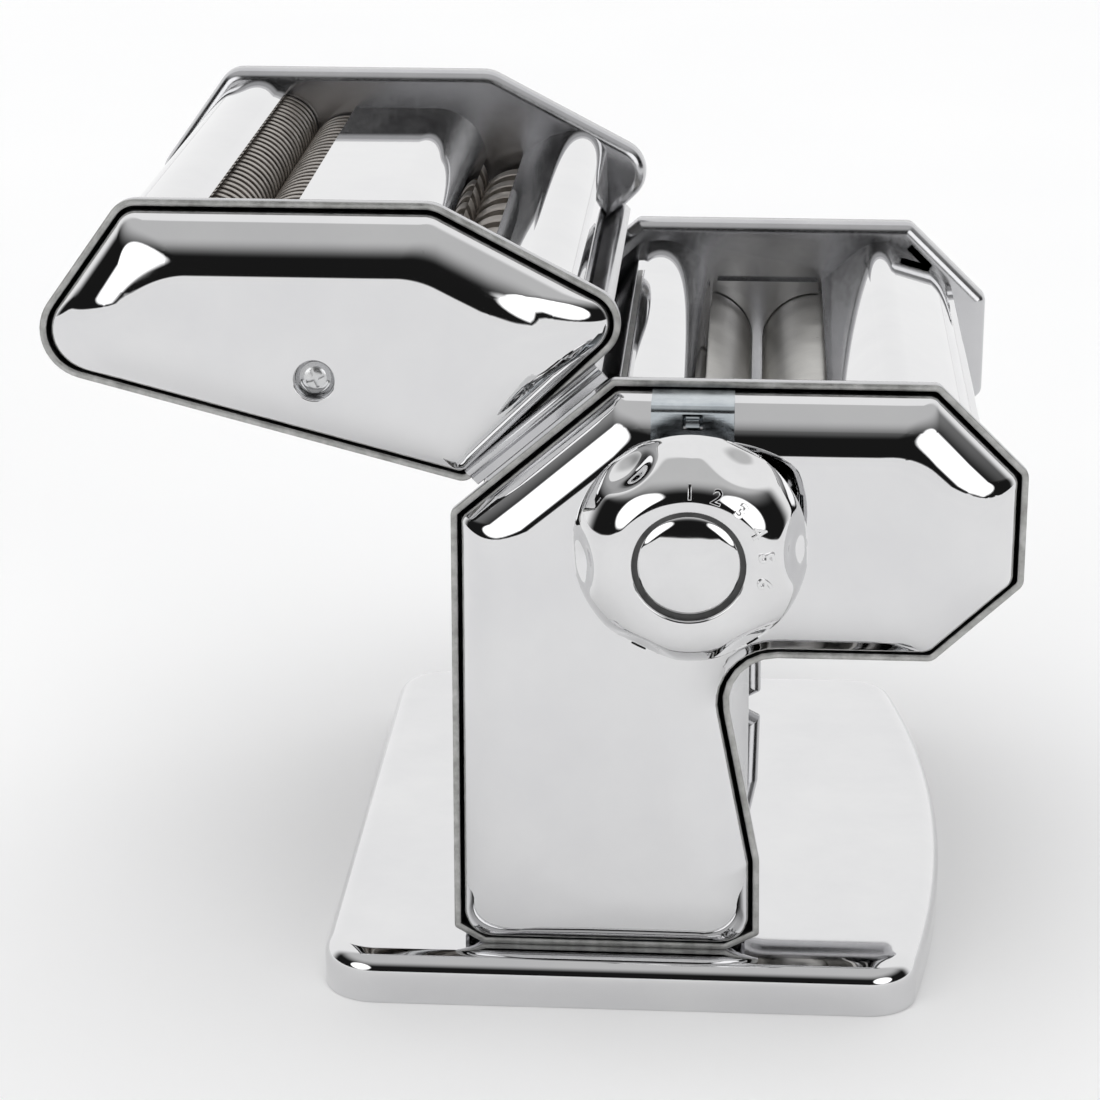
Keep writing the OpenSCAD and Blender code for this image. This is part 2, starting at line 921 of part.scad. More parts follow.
module cutter_middle_guard() {
    line = concat([[-81, 178.1]], arc([-60, 164.6], 13.5, 90, 5, 8));
    color("gainsboro")
        along_y(near_in, far_in)
            polygon(sheet(line, skin));
}

module cutter_right_guard() {
    line = concat(
        [[-37, 166.1], [-29.5, 171.4]],
        arc([-23.5, 163.8], 8.9, 115, 20, 6),
        [[-14.6, 152.5]]
    );
    color("gainsboro")
        along_y(near_in, far_in)
            polygon(sheet(line, skin));
}

module cutter_tie_rods() {
    color("gray")
        for (p = cutter_rods) {
            rod(p, 3.2, near_in, far_in);
            rod(p, 2.5, near_web - 4, far_web + 4);
        }
}

module cutter_tie_rod_nuts() {
    color("gray")
        for (p = cutter_rods) {
            hex_nut(p, near_web - 3, near_web);
            hex_nut(p, far_web, far_web + 3);
        }
}

module cutter_bushes() {
    color("goldenrod")
        for (p = cutting_axes) {
            bush(p, 6.95, cut_shaft_r + run, near_web - 1, near_in, near_web - 1, near_web, 8.2);
            bush(p, 6.95, cut_shaft_r + run, far_in, far_web + 1, far_web, far_web + 1, 8.2);
        }
}

// Count of whole ribs that fit between the frames, and the start of the first one
rib_gap = 0.1;
function rib_count(w) = floor((roller_y[1] - roller_y[0] - w) / (2 * w));
function rib_start(w) = (roller_y[0] + roller_y[1]) / 2 - w * (rib_count(w) + 0.5);

// Ribbed roller; its ribs fall in the grooves of its partner when shift is one noodle width
module cutting_roller(axis, w, shift, far_y, socket) {
    y0 = rib_start(w) + shift;
    difference() {
        union() {
            rod(axis, cut_r - cut_groove, rib_start(w), rib_start(w) + w * (2 * rib_count(w) + 1));
            for (k = [0:rib_count(w) - (shift > 0 ? 1 : 0)])
                rod(axis, cut_r, y0 + 2 * w * k + rib_gap, y0 + 2 * w * k + w - rib_gap);
            rod(axis, cut_shaft_r, near_web - 2, far_y);
        }
        if (socket)
            rod(axis, rod_r + run, far_y - 12, far_y + 1);
        if (socket)
            translate([axis.x - slot_w / 2, far_y - slot_deep, axis.y - 8])
                cube([slot_w, slot_deep + 1, 16]);
    }
}

module fine_driven_roller() {
    color("lightgray")
        cutting_roller(fine_driven, fine_w, 0, cutter_far_face + 0.5, true);
}

module fine_follower_roller() {
    color("lightgray")
        cutting_roller(fine_follower, fine_w, fine_w, gear_y[1] + 1, false);
}

module wide_driven_roller() {
    color("lightgray")
        cutting_roller(wide_driven, wide_w, 0, cutter_far_face + 0.5, true);
}

module wide_follower_roller() {
    color("lightgray")
        cutting_roller(wide_follower, wide_w, wide_w, gear_y[1] + 1, false);
}

cut_teeth = 12;
module cutting_gear(axis, phase) {
    color("darkgray")
        toothed(axis, cut_teeth, 7.9, 10.4, 2.3, 1.1, cut_shaft_r + 0.02, phase - cutter_tilt);
}

module fine_driven_gear() { cutting_gear(fine_driven, 0); }
module fine_follower_gear() { cutting_gear(fine_follower, 180 / cut_teeth); }
module wide_driven_gear() { cutting_gear(wide_driven, 0); }
module wide_follower_gear() { cutting_gear(wide_follower, 180 / cut_teeth); }

// Comb below one cutting roller: a bar with a finger in each groove
module comb(axis, w, shift, angle) {
    along_y(near_in, far_in)
        translate(axis)
            rotate(angle - cutter_tilt)
                translate([cut_r + 0.6, -0.5])
                    square([4, 1]);
    for (k = [0:rib_count(w) - 1])
        let (y0 = rib_start(w) + w + shift + 2 * w * k)
            along_y(y0 + 0.35, y0 + w - 0.35)
                translate(axis)
                    rotate(angle - cutter_tilt)
                        translate([cut_r - cut_groove + 0.5, -0.5])
                            square([2.3, 1]);
}

module fine_combs() {
    color("silver") {
        comb(fine_driven, fine_w, 0, -100);
        comb(fine_follower, fine_w, -fine_w, -80);
    }
}

module wide_combs() {
    color("silver") {
        comb(wide_driven, wide_w, 0, -100);
        comb(wide_follower, wide_w, -wide_w, -80);
    }
}

base_plate();
rubber_feet();
base_screws();
base_nuts();
knob_side_frame();
drive_side_frame();
knob_side_cover();
drive_side_cover();
tie_rods();
tie_rod_nuts();
left_dough_guard();
right_dough_guard();
end_cheeks();
scrapers();
dough_slide();
back_panel();
cutter_track();
index_plate();
fixed_roller_bushes();
shaft_bushes();
gear_bracket();
fixed_roller();
fixed_roller_gear();
crank_arm();
crank_grip();
eccentric_shaft();
knob_nut();
roller_bushes();
adjustable_roller();
adjustable_roller_gear();
regulator_knob();
knob_cap();
index_pin();
knob_spring();
cutter_near_frame();
cutter_far_frame();
cutter_near_cover();
cutter_far_cover();
cutter_left_guard();
cutter_middle_guard();
cutter_right_guard();
cutter_rail();
cutter_tie_rods();
cutter_tie_rod_nuts();
cutter_bushes();
cutter_cover_screws();
fine_combs();
wide_combs();
fine_driven_roller();
fine_follower_roller();
wide_driven_roller();
wide_follower_roller();
fine_driven_gear();
fine_follower_gear();
wide_driven_gear();
wide_follower_gear();
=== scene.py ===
import math

import bmesh
import bpy
from mathutils import Matrix, Vector


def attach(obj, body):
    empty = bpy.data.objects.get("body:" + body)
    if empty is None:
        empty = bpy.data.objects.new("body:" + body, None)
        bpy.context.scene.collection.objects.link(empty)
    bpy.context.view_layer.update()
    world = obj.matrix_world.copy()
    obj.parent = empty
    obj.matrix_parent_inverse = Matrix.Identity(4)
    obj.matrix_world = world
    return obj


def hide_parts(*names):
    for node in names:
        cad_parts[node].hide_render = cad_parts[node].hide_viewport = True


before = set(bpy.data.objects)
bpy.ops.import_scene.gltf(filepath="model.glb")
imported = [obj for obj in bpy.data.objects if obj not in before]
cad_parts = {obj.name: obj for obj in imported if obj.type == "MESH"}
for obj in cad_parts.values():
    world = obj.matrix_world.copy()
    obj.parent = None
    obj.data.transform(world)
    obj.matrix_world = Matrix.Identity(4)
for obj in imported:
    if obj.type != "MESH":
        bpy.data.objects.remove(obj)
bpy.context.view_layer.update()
MM = 0.001

# ---- the sizes of the CAD part, in millimetres ----
NEAR_IN, NEAR_WEB, NEAR_EDGE, NEAR_FACE = -80.5, -82.0, -85.5, -94.5
FAR_IN, FAR_WEB, FAR_EDGE, FAR_FACE, CUT_FAR_FACE = 67.5, 69.0, 72.5, 88.0, 84.0
FRAME_T, SKIN = 1.5, 0.8
ROLLER_R = 13.75
FIXED = (40.2, 116.6)
ADJUST = (10.2, 116.6)
SHAFT = (11.349, 117.564)
KNOB_Y = -106.0
GRIP_Z = 24.6
CRANK_Y = 97.0
CRANK_REST = 50.0
BASE_H = 12.0
FRAME = [
    (-35.7, 12, 1), (20.6, 12, 1), (28.2, 16, 1), (27.9, 34.7, 6), (17.9, 84.6, 10.7),
    (65.6, 84.6, 3), (85.1, 103.1, 3), (85.1, 129.3, 3), (64.9, 149, 3),
    (-6.5, 149, 2), (-42.5, 117.8, 2), (-42.5, 16, 1),
]
COVER = [
    (-42.5, 12, 8), (28.3, 12, 8), (27.9, 34.7, 6), (17.9, 84.6, 10.7),
    (65.6, 84.6, 5), (85.1, 103.1, 5), (85.1, 129.3, 5), (64.9, 149, 5),
    (-6.5, 149, 4), (-42.5, 117.8, 4),
]
CUTTER = [(-140.4, 151.3, 11), (-38.9, 124.6, 3.5), (1, 163.5, 8.5), (-45.4, 187.8, 9), (-114.1, 187.8, 7)]


# ---- outlines in the X-Z plane ----
def unit(v):
    n = math.hypot(v[0], v[1])
    return (v[0] / n, v[1] / n)


def inset(pts, d, grow=0.0):
    """Outline moved inwards by d; convex corners may get rounder by grow."""
    out = []
    for i, p in enumerate(pts):
        a, b = pts[i - 1], pts[(i + 1) % len(pts)]
        e1, e2 = unit((p[0] - a[0], p[1] - a[1])), unit((b[0] - p[0], b[1] - p[1]))
        n1, n2 = (-e1[1], e1[0]), (-e2[1], e2[0])
        k = d / (1 + n1[0] * n2[0] + n1[1] * n2[1])
        convex = n1[0] * n2[1] - n1[1] * n2[0] > 0
        r = p[2]
        if r > 0:
            r = max(0.25, r + (grow - d if convex else d))
        out.append((p[0] + k * (n1[0] + n2[0]), p[1] + k * (n1[1] + n2[1]), r))
    return out


def rounded(pts, steps=8):
    out = []
    for i, p in enumerate(pts):
        if p[2] <= 0:
            out.append((p[0], p[1]))
            continue
        a, b = pts[i - 1], pts[(i + 1) % len(pts)]
        la, lb = math.dist(a[:2], p[:2]), math.dist(b[:2], p[:2])
        ua, ub = unit((a[0] - p[0], a[1] - p[1])), unit((b[0] - p[0], b[1] - p[1]))
        half = math.acos(max(-1, min(1, ua[0] * ub[0] + ua[1] * ub[1]))) / 2
        r = min(p[2], 0.47 * min(la, lb) * math.tan(half))
        m = unit((ua[0] + ub[0], ua[1] + ub[1]))
        c = (p[0] + m[0] * r / math.sin(half), p[1] + m[1] * r / math.sin(half))
        t = r / math.tan(half)
        s = (p[0] + ua[0] * t - c[0], p[1] + ua[1] * t - c[1])
        e = (p[0] + ub[0] * t - c[0], p[1] + ub[1] * t - c[1])
        start = math.atan2(s[1], s[0])
        sweep = (math.pi - 2 * half) * (1 if s[0] * e[1] - s[1] * e[0] > 0 else -1)
        for k in range(steps + 1):
            q = start + sweep * k / steps
            out.append((c[0] + r * math.cos(q), c[1] + r * math.sin(q)))
    return out


def arc(c, r, a0, a1, steps=20):
    return [
        (c[0] + r * math.cos(math.radians(a0 + (a1 - a0) * k / steps)),
         c[1] + r * math.sin(math.radians(a0 + (a1 - a0) * k / steps)))
        for k in range(steps + 1)
    ]


def sheet(line, t):
    """Closed band of thickness t on the right-hand side of an open line."""
    side = []
    for i, p in enumerate(line):
        d1 = unit((p[0] - line[i - 1][0], p[1] - line[i - 1][1])) if i else None
        d2 = unit((line[i + 1][0] - p[0], line[i + 1][1] - p[1])) if i < len(line) - 1 else d1
        d1 = d1 or d2
        n1, n2 = (d1[1], -d1[0]), (d2[1], -d2[0])
        k = t / (1 + n1[0] * n2[0] + n1[1] * n2[1])
        side.append((p[0] + k * (n1[0] + n2[0]), p[1] + k * (n1[1] + n2[1])))
    return list(line) + side[::-1]


CH_A, CH_B = (-42.5, 117.8), (-6.5, 149.0)
CH_U = unit((CH_B[0] - CH_A[0], CH_B[1] - CH_A[1]))
CH_N = (-CH_U[1], CH_U[0])


def on_chamfer(along, above):
    return (CH_A[0] + along * CH_U[0] + above * CH_N[0], CH_A[1] + along * CH_U[1] + above * CH_N[1])


# ---- meshes ----
def make(name, verts, faces, materials, slots=None, sharp=32):
    mesh = bpy.data.meshes.new(name)
    mesh.from_pydata([tuple(c * MM for c in v) for v in verts], [], faces)
    for m in materials:
        mesh.materials.append(m)
    if slots:
        mesh.polygons.foreach_set("material_index", slots)
    obj = bpy.data.objects.new(name, mesh)
    bpy.context.scene.collection.objects.link(obj)
    bm = bmesh.new()
    bm.from_mesh(mesh)
    bmesh.ops.recalc_face_normals(bm, faces=bm.faces)
    bm.to_mesh(mesh)
    bm.free()
    shade(obj, sharp)
    return obj


def shade(obj, sharp=32):
    """Smooth apart from sharp edges; large flat caps keep their own normal."""
    obj.data.shade_smooth()
    for face in obj.data.polygons:
        if face.loop_total > 6:
            face.use_smooth = False
    obj.data.set_sharp_from_angle(angle=math.radians(sharp))


def loft(name, rings, materials, strip_slots=None, sharp=32):
    """Joins rings of equally many points; the first and last are capped."""
    n = len(rings[0])
    verts = [v for row in rings for v in row]
    faces, slots = [], []
    for k in range(len(rings) - 1):
        a, b = k * n, (k + 1) * n
        for i in range(n):
            j = (i + 1) % n
            faces.append((a + i, a + j, b + j, b + i))
            slots.append(strip_slots[k] if strip_slots else 0)
    faces.append(tuple(range(n - 1, -1, -1)))
    faces.append(tuple(range((len(rings) - 1) * n, len(rings) * n)))
    slots += [strip_slots[0] if strip_slots else 0, strip_slots[-1] if strip_slots else 0]
    return make(name, verts, faces, materials, slots, sharp)


def ring(points, y):
    return [(p[0], y, p[1]) for p in points]


def prism(name, points, y0, y1, materials):
    """An X-Z outline drawn out from y0 to y1."""
    return loft(name, [ring(points, y0), ring(points, y1)], materials)


def turned(name, axis, profile, materials, seg=128, y_sign=1, y0=0.0):
    """A profile of (radius, distance along Y) turned about an axis at (x, z). A radius of 0 closes it."""
    verts, faces, rows = [], [], []
    for r, h in profile:
        y = y0 + y_sign * h
        if r < 1e-6:
            rows.append([len(verts)])
            verts.append((axis[0], y, axis[1]))
            continue
        row = []
        for k in range(seg):
            q = 2 * math.pi * k / seg
            row.append(len(verts))
            verts.append((axis[0] + r * math.cos(q), y, axis[1] + r * math.sin(q)))
        rows.append(row)
    for i in range(len(rows) - 1):
        a, b = rows[i], rows[i + 1]
        for k in range(seg):
            j = (k + 1) % seg
            if len(a) == 1:
                faces.append((a[0], b[j], b[k]))
            elif len(b) == 1:
                faces.append((a[k], a[j], b[0]))
            else:
                faces.append((a[k], a[j], b[j], b[k]))
    return make(name, verts, faces, materials)


def cut(obj, tools, sharp=32):
    """Takes the tool meshes away from obj, then deletes them."""
    for t in tools:
        m = obj.modifiers.new("cut", "BOOLEAN")
        m.operation = "DIFFERENCE"
        m.solver = "EXACT"
        m.object = t
    bpy.context.view_layer.update()
    done = bpy.data.meshes.new_from_object(obj.evaluated_get(bpy.context.evaluated_depsgraph_get()))
    obj.modifiers.clear()
    obj.data = done
    for t in tools:
        bpy.data.objects.remove(t)
    shade(obj, sharp)
    return obj


def join(name, objs, sharp=32):
    """Joins meshes into one piece."""
    materials, bm = [], bmesh.new()
    for o in objs:
        start = len(bm.faces)
        bm.from_mesh(o.data)
        bm.faces.ensure_lookup_table()
        lookup = []
        for m in o.data.materials:
            if m not in materials:
                materials.append(m)
            lookup.append(materials.index(m))
        for f in bm.faces[start:]:
            f.material_index = lookup[f.material_index]
    mesh = bpy.data.meshes.new(name)
    for m in materials:
        mesh.materials.append(m)
    bm.to_mesh(mesh)
    bm.free()
    for o in objs:
        bpy.data.objects.remove(o)
    obj = bpy.data.objects.new(name, mesh)
    bpy.context.scene.collection.objects.link(obj)
    shade(obj, sharp)
    return obj


def place(obj, body, replaced):
    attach(obj, body)
    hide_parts(replaced)
    return obj


def divide(obj, axis, step=14.0):
    """Slices the mesh across the two directions other than axis, so that its flat caps hold no long triangles."""
    bm = bmesh.new()
    bm.from_mesh(obj.data)
    for k in (n for n in range(3) if n != axis):
        reach = [v.co[k] for v in bm.verts]
        at = min(reach) + step * MM
        while at < max(reach):
            spot, way = Vector((0, 0, 0)), Vector((0, 0, 0))
            spot[k], way[k] = at, 1
            everything = bm.verts[:] + bm.edges[:] + bm.faces[:]
            bmesh.ops.bisect_plane(bm, geom=everything, plane_co=spot, plane_no=way, dist=1e-7)
            at += step * MM
    bm.to_mesh(obj.data)
    bm.free()
    shade(obj, 40)
    return obj


def swing(obj, axis, degrees):
    """Turns a mesh about an axis along Y at (x, z)."""
    centre = Vector((axis[0], 0, axis[1])) * MM
    turn = Matrix.Rotation(math.radians(degrees), 4, "Y")
    obj.data.transform(Matrix.Translation(centre) @ turn @ Matrix.Translation(-centre))
    return obj


def rod_tool(axis, r, y0, y1):
    return prism("tool", arc(axis, r, 0, 360, 64)[:-1], y0, y1, [])


# ---- materials ----
def nodes_of(name):
    m = bpy.data.materials.new(name)
    m.use_nodes = True
    t = m.node_tree
    return m, t, t.nodes["Principled BSDF"]


def link(t, a, b):
    t.links.new(a, b)


def coords(t, scale=(1, 1, 1)):
    c = t.nodes.new("ShaderNodeTexCoord")
    m = t.nodes.new("ShaderNodeMapping")
    m.inputs["Scale"].default_value = scale
    link(t, c.outputs["Object"], m.inputs["Vector"])
    return m.outputs["Vector"]


def noise(t, vector, scale, detail=3.0, rough=0.5):
    n = t.nodes.new("ShaderNodeTexNoise")
    n.inputs["Scale"].default_value = scale
    n.inputs["Detail"].default_value = detail
    n.inputs["Roughness"].default_value = rough
    link(t, vector, n.inputs["Vector"])
    return n.outputs["Fac"]


def spread(t, value, lo, hi):
    """Brings the middle of a noise's range to lo..hi."""
    r = t.nodes.new("ShaderNodeMapRange")
    for k, x in (("From Min", 0.3), ("From Max", 0.7), ("To Min", lo), ("To Max", hi)):
        r.inputs[k].default_value = x
    link(t, value, r.inputs["Value"])
    return r.outputs["Result"]


def math_node(t, op, a, b):
    n = t.nodes.new("ShaderNodeMath")
    n.operation = op
    for i, x in enumerate((a, b)):
        if isinstance(x, (int, float)):
            n.inputs[i].default_value = x
        else:
            link(t, x, n.inputs[i])
    return n.outputs[0]


def colour_mix(t, fac, a, b):
    n = t.nodes.new("ShaderNodeMix")
    n.data_type = "RGBA"
    n.inputs["A"].default_value = (*a, 1)
    n.inputs["B"].default_value = (*b, 1)
    link(t, fac, n.inputs["Factor"])
    return n.outputs["Result"]


def bump(t, shader, height, strength, distance):
    b = t.nodes.new("ShaderNodeBump")
    b.inputs["Strength"].default_value = strength
    b.inputs["Distance"].default_value = distance
    link(t, height, b.inputs["Height"])
    link(t, b.outputs["Normal"], shader.inputs["Normal"])


def metal(name, dark, light, rough, blotch=60, grain=None, ripple=0.0, ripple_scale=35):
    """Blotchy tone and roughness, an optional directional grain and a faint ripple of pressed sheet."""
    m, t, s = nodes_of(name)
    s.inputs["Metallic"].default_value = 1.0
    cloud = noise(t, coords(t), blotch, 4, 0.6)
    link(t, colour_mix(t, spread(t, cloud, 0, 1), dark, light), s.inputs["Base Color"])
    fine = noise(t, coords(t), 900, 3, 0.6)
    both = math_node(t, "ADD", spread(t, cloud, rough[0], rough[1]), spread(t, fine, 0, rough[2]))
    height = None
    if grain:
        streak = noise(t, coords(t, grain[0]), 1.0, 2, 0.6)
        both = math_node(t, "ADD", both, spread(t, streak, 0, grain[1]))
        height = math_node(t, "MULTIPLY", streak, grain[2])
    link(t, both, s.inputs["Roughness"])
    if ripple:
        wave = math_node(t, "MULTIPLY", noise(t, coords(t), ripple_scale, 1, 0.4), ripple)
        height = math_node(t, "ADD", height, wave) if height else wave
    if height:
        bump(t, s, height, 1.0, 0.001)
    return m


CHROME = metal("chrome", (0.69, 0.69, 0.70), (0.73, 0.73, 0.735), (0.012, 0.03, 0.012), 40,
               ripple=0.02, ripple_scale=22)
CHROME_SOFT = metal("chrome_soft", (0.50, 0.50, 0.515), (0.58, 0.58, 0.59), (0.13, 0.21, 0.05), 55,
                    ripple=0.03, ripple_scale=40)
KNOB_CHROME = metal("knob_chrome", (0.70, 0.70, 0.705), (0.75, 0.75, 0.755), (0.015, 0.035, 0.02), 90,
                    ripple=0.035, ripple_scale=150)
EDGE = metal("sheared_edge", (0.30, 0.30, 0.29), (0.56, 0.56, 0.55), (0.25, 0.42, 0.12), 320,
             grain=((1400, 120, 1400), 0.12, 0.05))
# Near-black steel used only as painted shade: inside the frames' flanges, under the base and in the gap round the
# knob cap
PAINTED_SHADE_STEEL = metal("painted_shade_steel", (0.05, 0.05, 0.05), (0.11, 0.11, 0.11), (0.3, 0.5, 0.1), 160)
SATIN = metal("satin_steel", (0.50, 0.49, 0.47), (0.62, 0.61, 0.585), (0.24, 0.31, 0.05), 70,
              grain=((60, 5200, 60), 0.08, 0.012))
RIBBED = metal("ribbed_steel", (0.30, 0.275, 0.25), (0.47, 0.44, 0.41), (0.24, 0.36, 0.08), 210,
               grain=((200, 900, 200), 0.1, 0.02))
PLATED = metal("plated_steel", (0.55, 0.56, 0.57), (0.68, 0.68, 0.68), (0.13, 0.22, 0.06), 190,
               grain=((500, 2500, 500), 0.06, 0.01))
GEAR = metal("gear_steel", (0.26, 0.26, 0.265), (0.42, 0.42, 0.42), (0.28, 0.4, 0.08), 150,
             grain=((1500, 90, 1500), 0.1, 0.03))
BRONZE = metal("sintered_bronze", (0.42, 0.27, 0.12), (0.62, 0.42, 0.19), (0.32, 0.46, 0.08), 500)
ZINC = metal("zinc_plate", (0.40, 0.44, 0.47), (0.58, 0.62, 0.645), (0.10, 0.2, 0.05), 120,
             grain=((90, 90, 1600), 0.05, 0.012), ripple=0.05, ripple_scale=90)


def dull(name, dark, light, rough, scale, height, distance):
    m, t, s = nodes_of(name)
    tone = noise(t, coords(t), scale, 5, 0.65)
    link(t, colour_mix(t, spread(t, tone, 0, 1), dark, light), s.inputs["Base Color"])
    link(t, spread(t, tone, rough[0], rough[1]), s.inputs["Roughness"])
    bump(t, s, noise(t, coords(t), scale * 3, 3, 0.6), height, distance)
    return m


RUBBER = dull("rubber", (0.010, 0.010, 0.010), (0.03, 0.03, 0.03), (0.7, 0.9), 700, 0.5, 0.0002)
PLASTIC = dull("moulded_plastic", (0.012, 0.012, 0.013), (0.024, 0.024, 0.026), (0.33, 0.5), 1500, 0.35, 0.00008)


# ---- base plate: a pressed tray with a rolled edge ----
def base_ring(d, z):
    """The outline, bowed on its right, moved inwards by d, at height z."""
    half, bulge, depth, r_back, r_front = 73.5, 10.5, 94.0, 13.0, 12.0
    cx = half - (depth ** 2 + bulge ** 2) / (2 * bulge)
    big = half - cx
    fillet_x = cx + math.sqrt((big - r_front) ** 2 - (depth - r_front) ** 2)
    swing_end = math.degrees(math.asin((depth - r_front) / (big - r_front)))
    pts = arc((r_back - half, r_back - depth), r_back - d, 180, 270, 16)
    pts += arc((fillet_x, r_front - depth), r_front - d, -90, -swing_end, 16)
    pts += arc((cx, 0), big - d, -swing_end, swing_end, 48)[1:-1]
    pts += arc((fillet_x, depth - r_front), r_front - d, swing_end, 90, 16)
    pts += arc((r_back - half, depth - r_back), r_back - d, 90, 180, 16)
    return [(p[0], p[1], z) for p in pts]


rings = [base_ring(9, BASE_H - 1.2)]
for k in range(6, -1, -1):
    q = math.radians(15 * k)
    rings.append(base_ring(5 - 3.8 * math.cos(q), BASE_H - 5 + 3.8 * math.sin(q)))
rings += [base_ring(1.2, 0.15), base_ring(1.0, 0.0), base_ring(0.25, 0.0), base_ring(0.0, 0.3)]
for k in range(0, 13):
    q = math.radians(7.5 * k)
    rings.append(base_ring(5 - 5 * math.cos(q), BASE_H - 5 + 5 * math.sin(q)))
rings.append(base_ring(6.5, BASE_H))
# The first eight strips, the underside inside the rolled edge, are near-black painted shade under the base
base = loft("base_tray", rings, [CHROME, PAINTED_SHADE_STEEL], [1] * 8 + [0] * (len(rings) - 9), sharp=40)
place(divide(base, 2), "stand", "base_plate")


# ---- side frames: flat web, bent flange, sheared edge, painted shade inside the flange ----
def tray(name, corners, y_in, y_edge, steps=6):
    s = 1 if y_edge > y_in else -1
    rings, slots = [], []

    def add(d, y, slot):
        rings.append(ring(rounded(inset(corners, d), steps), y))
        slots.append(slot)

    for k in range(0, 7):
        q = math.radians(15 * k)
        add(3 - 3 * math.sin(q), y_in + s * (3 - 3 * math.cos(q)), 0)
    add(0, y_edge - s * 0.2, 1)
    add(0.2, y_edge, 1)
    add(FRAME_T - 0.2, y_edge, 1)
    add(FRAME_T, y_edge - s * 0.2, 2)
    for k in range(6, -1, -1):
        q = math.radians(15 * k)
        add(3 - 1.5 * math.sin(q), y_in + s * (3 - 1.5 * math.cos(q)), 2)
    # Slot 2, the flange's inner face and the web's face behind the cover, is near-black painted shade for the gap
    return loft(name, rings, [CHROME_SOFT, EDGE, PAINTED_SHADE_STEEL], slots[:-1], sharp=50)


def box_piece(name, x, y, z, materials, ease=0.3):
    verts = [(a, b, c) for a in x for b in y for c in z]
    faces = [(0, 1, 3, 2), (4, 6, 7, 5), (0, 4, 5, 1), (2, 3, 7, 6), (0, 2, 6, 4), (1, 5, 7, 3)]
    obj = make(name, verts, faces, materials)
    bm = bmesh.new()
    bm.from_mesh(obj.data)
    bmesh.ops.bevel(bm, geom=list(bm.edges), offset=ease * MM, segments=2, affect="EDGES", profile=0.6)
    bm.to_mesh(obj.data)
    bm.free()
    shade(obj, 40)
    return obj


SLOT_A = (64.9, 149.0)
SLOT_U = unit((85.1 - 64.9, 129.3 - 149.0))
SLOT_N = (-SLOT_U[1], SLOT_U[0])


def slot_tool(y0, y1):
    pts = [(SLOT_A[0] + a * SLOT_U[0] + b * SLOT_N[0], SLOT_A[1] + a * SLOT_U[1] + b * SLOT_N[1])
           for a, b in ((4, -5.6), (12, -5.6), (12, -3.8), (4, -3.8))]
    return prism("tool", pts, y0, y1, [])


def notch_tool(y0, y1):
    pts = [on_chamfer(8.95, -5), on_chamfer(47.05, -5), on_chamfer(47.05, 5.55), on_chamfer(8.95, 5.55)]
    return prism("tool", pts, y0, y1, [])


near_frame = cut(tray("near_frame_web", FRAME, NEAR_IN, NEAR_EDGE), [slot_tool(NEAR_WEB - 1, NEAR_IN + 1)], 50)
TAB_X, TAB_Z = (-32, 16), (BASE_H, BASE_H + FRAME_T)
near_tab = box_piece("near_tab", TAB_X, (NEAR_IN - 0.5, NEAR_IN + 14), TAB_Z, [CHROME_SOFT])
place(join("knob_side_tray", [near_frame, near_tab], 50), "stand", "knob_side_frame")
far_frame = cut(tray("far_frame_web", FRAME, FAR_IN, FAR_EDGE), [slot_tool(FAR_IN - 1, FAR_WEB + 1)], 50)
far_tab = box_piece("far_tab", TAB_X, (FAR_IN - 14, FAR_IN + 0.5), TAB_Z, [CHROME_SOFT])
place(join("drive_side_tray", [far_frame, far_tab], 50), "stand", "drive_side_frame")
place(cut(tray("cutter_near_tray", CUTTER, NEAR_IN, NEAR_EDGE, 14), [notch_tool(NEAR_EDGE - 1, NEAR_IN + 1)], 50),
      "cutter", "cutter_near_frame")
place(cut(tray("cutter_far_tray", CUTTER, FAR_IN, FAR_EDGE, 14), [notch_tool(FAR_IN - 1, FAR_EDGE + 1)], 50),
      "cutter", "cutter_far_frame")


# ---- covers: deep-drawn domes with a broad soft edge ----
def smooth_path(points, per=5):
    out = []
    for i in range(len(points) - 1):
        p0, p1 = points[max(i - 1, 0)], points[i]
        p2, p3 = points[i + 1], points[min(i + 2, len(points) - 1)]
        for k in range(per):
            t = k / per
            out.append(tuple(
                0.5 * (2 * p1[c] + (p2[c] - p0[c]) * t + (2 * p0[c] - 5 * p1[c] + 4 * p2[c] - p3[c]) * t * t
                       + (3 * p1[c] - p0[c] - 3 * p2[c] + p3[c]) * t ** 3) for c in (0, 1)))
    return out + [points[-1]]


# (distance from the rim, depth below the face), for a cover of the full depth
FULL_DEPTH, SLOPE, DROP = 12.5, 15.0, 10.8
DOME = [(0, FULL_DEPTH)]
for k in range(16):
    q = math.radians(6 * k)
    DOME.append((SLOPE - SLOPE * math.cos(q), DROP - DROP * math.sin(q)))


def dome(name, corners, y_web, y_face, steps=10, soften=1.2):
    """A cover: a short upright rim, a broad rounded slope and a flat face."""
    s = 1 if y_face > y_web else -1
    foot = inset(corners, 2.05)
    rings = []

    def add(d, y):
        rings.append(ring(rounded(inset(foot, d, d * (1 + soften)), steps), y))

    full = abs(y_face - y_web)
    for d, h in DOME[13:1:-3]:
        add(max(d, SKIN), y_face - s * min(full, h * full / FULL_DEPTH + SKIN))
    add(SKIN, y_web)
    for d, h in smooth_path(DOME, 2):
        add(d, y_face - s * h * full / FULL_DEPTH)
    add(15.6, y_face)
    return divide(loft(name, rings, [CHROME], sharp=60), 1)


near_cover = cut(dome("knob_side_dome", COVER, NEAR_WEB, NEAR_FACE),
                 [rod_tool(SHAFT, 9, NEAR_FACE - 2, NEAR_FACE + 4)], 60)
place(near_cover, "stand", "knob_side_cover")
far_cover = cut(dome("drive_side_dome", COVER, FAR_WEB, FAR_FACE),
                [rod_tool(FIXED, 8, FAR_FACE - 4, FAR_FACE + 2)], 60)
place(far_cover, "stand", "drive_side_cover")

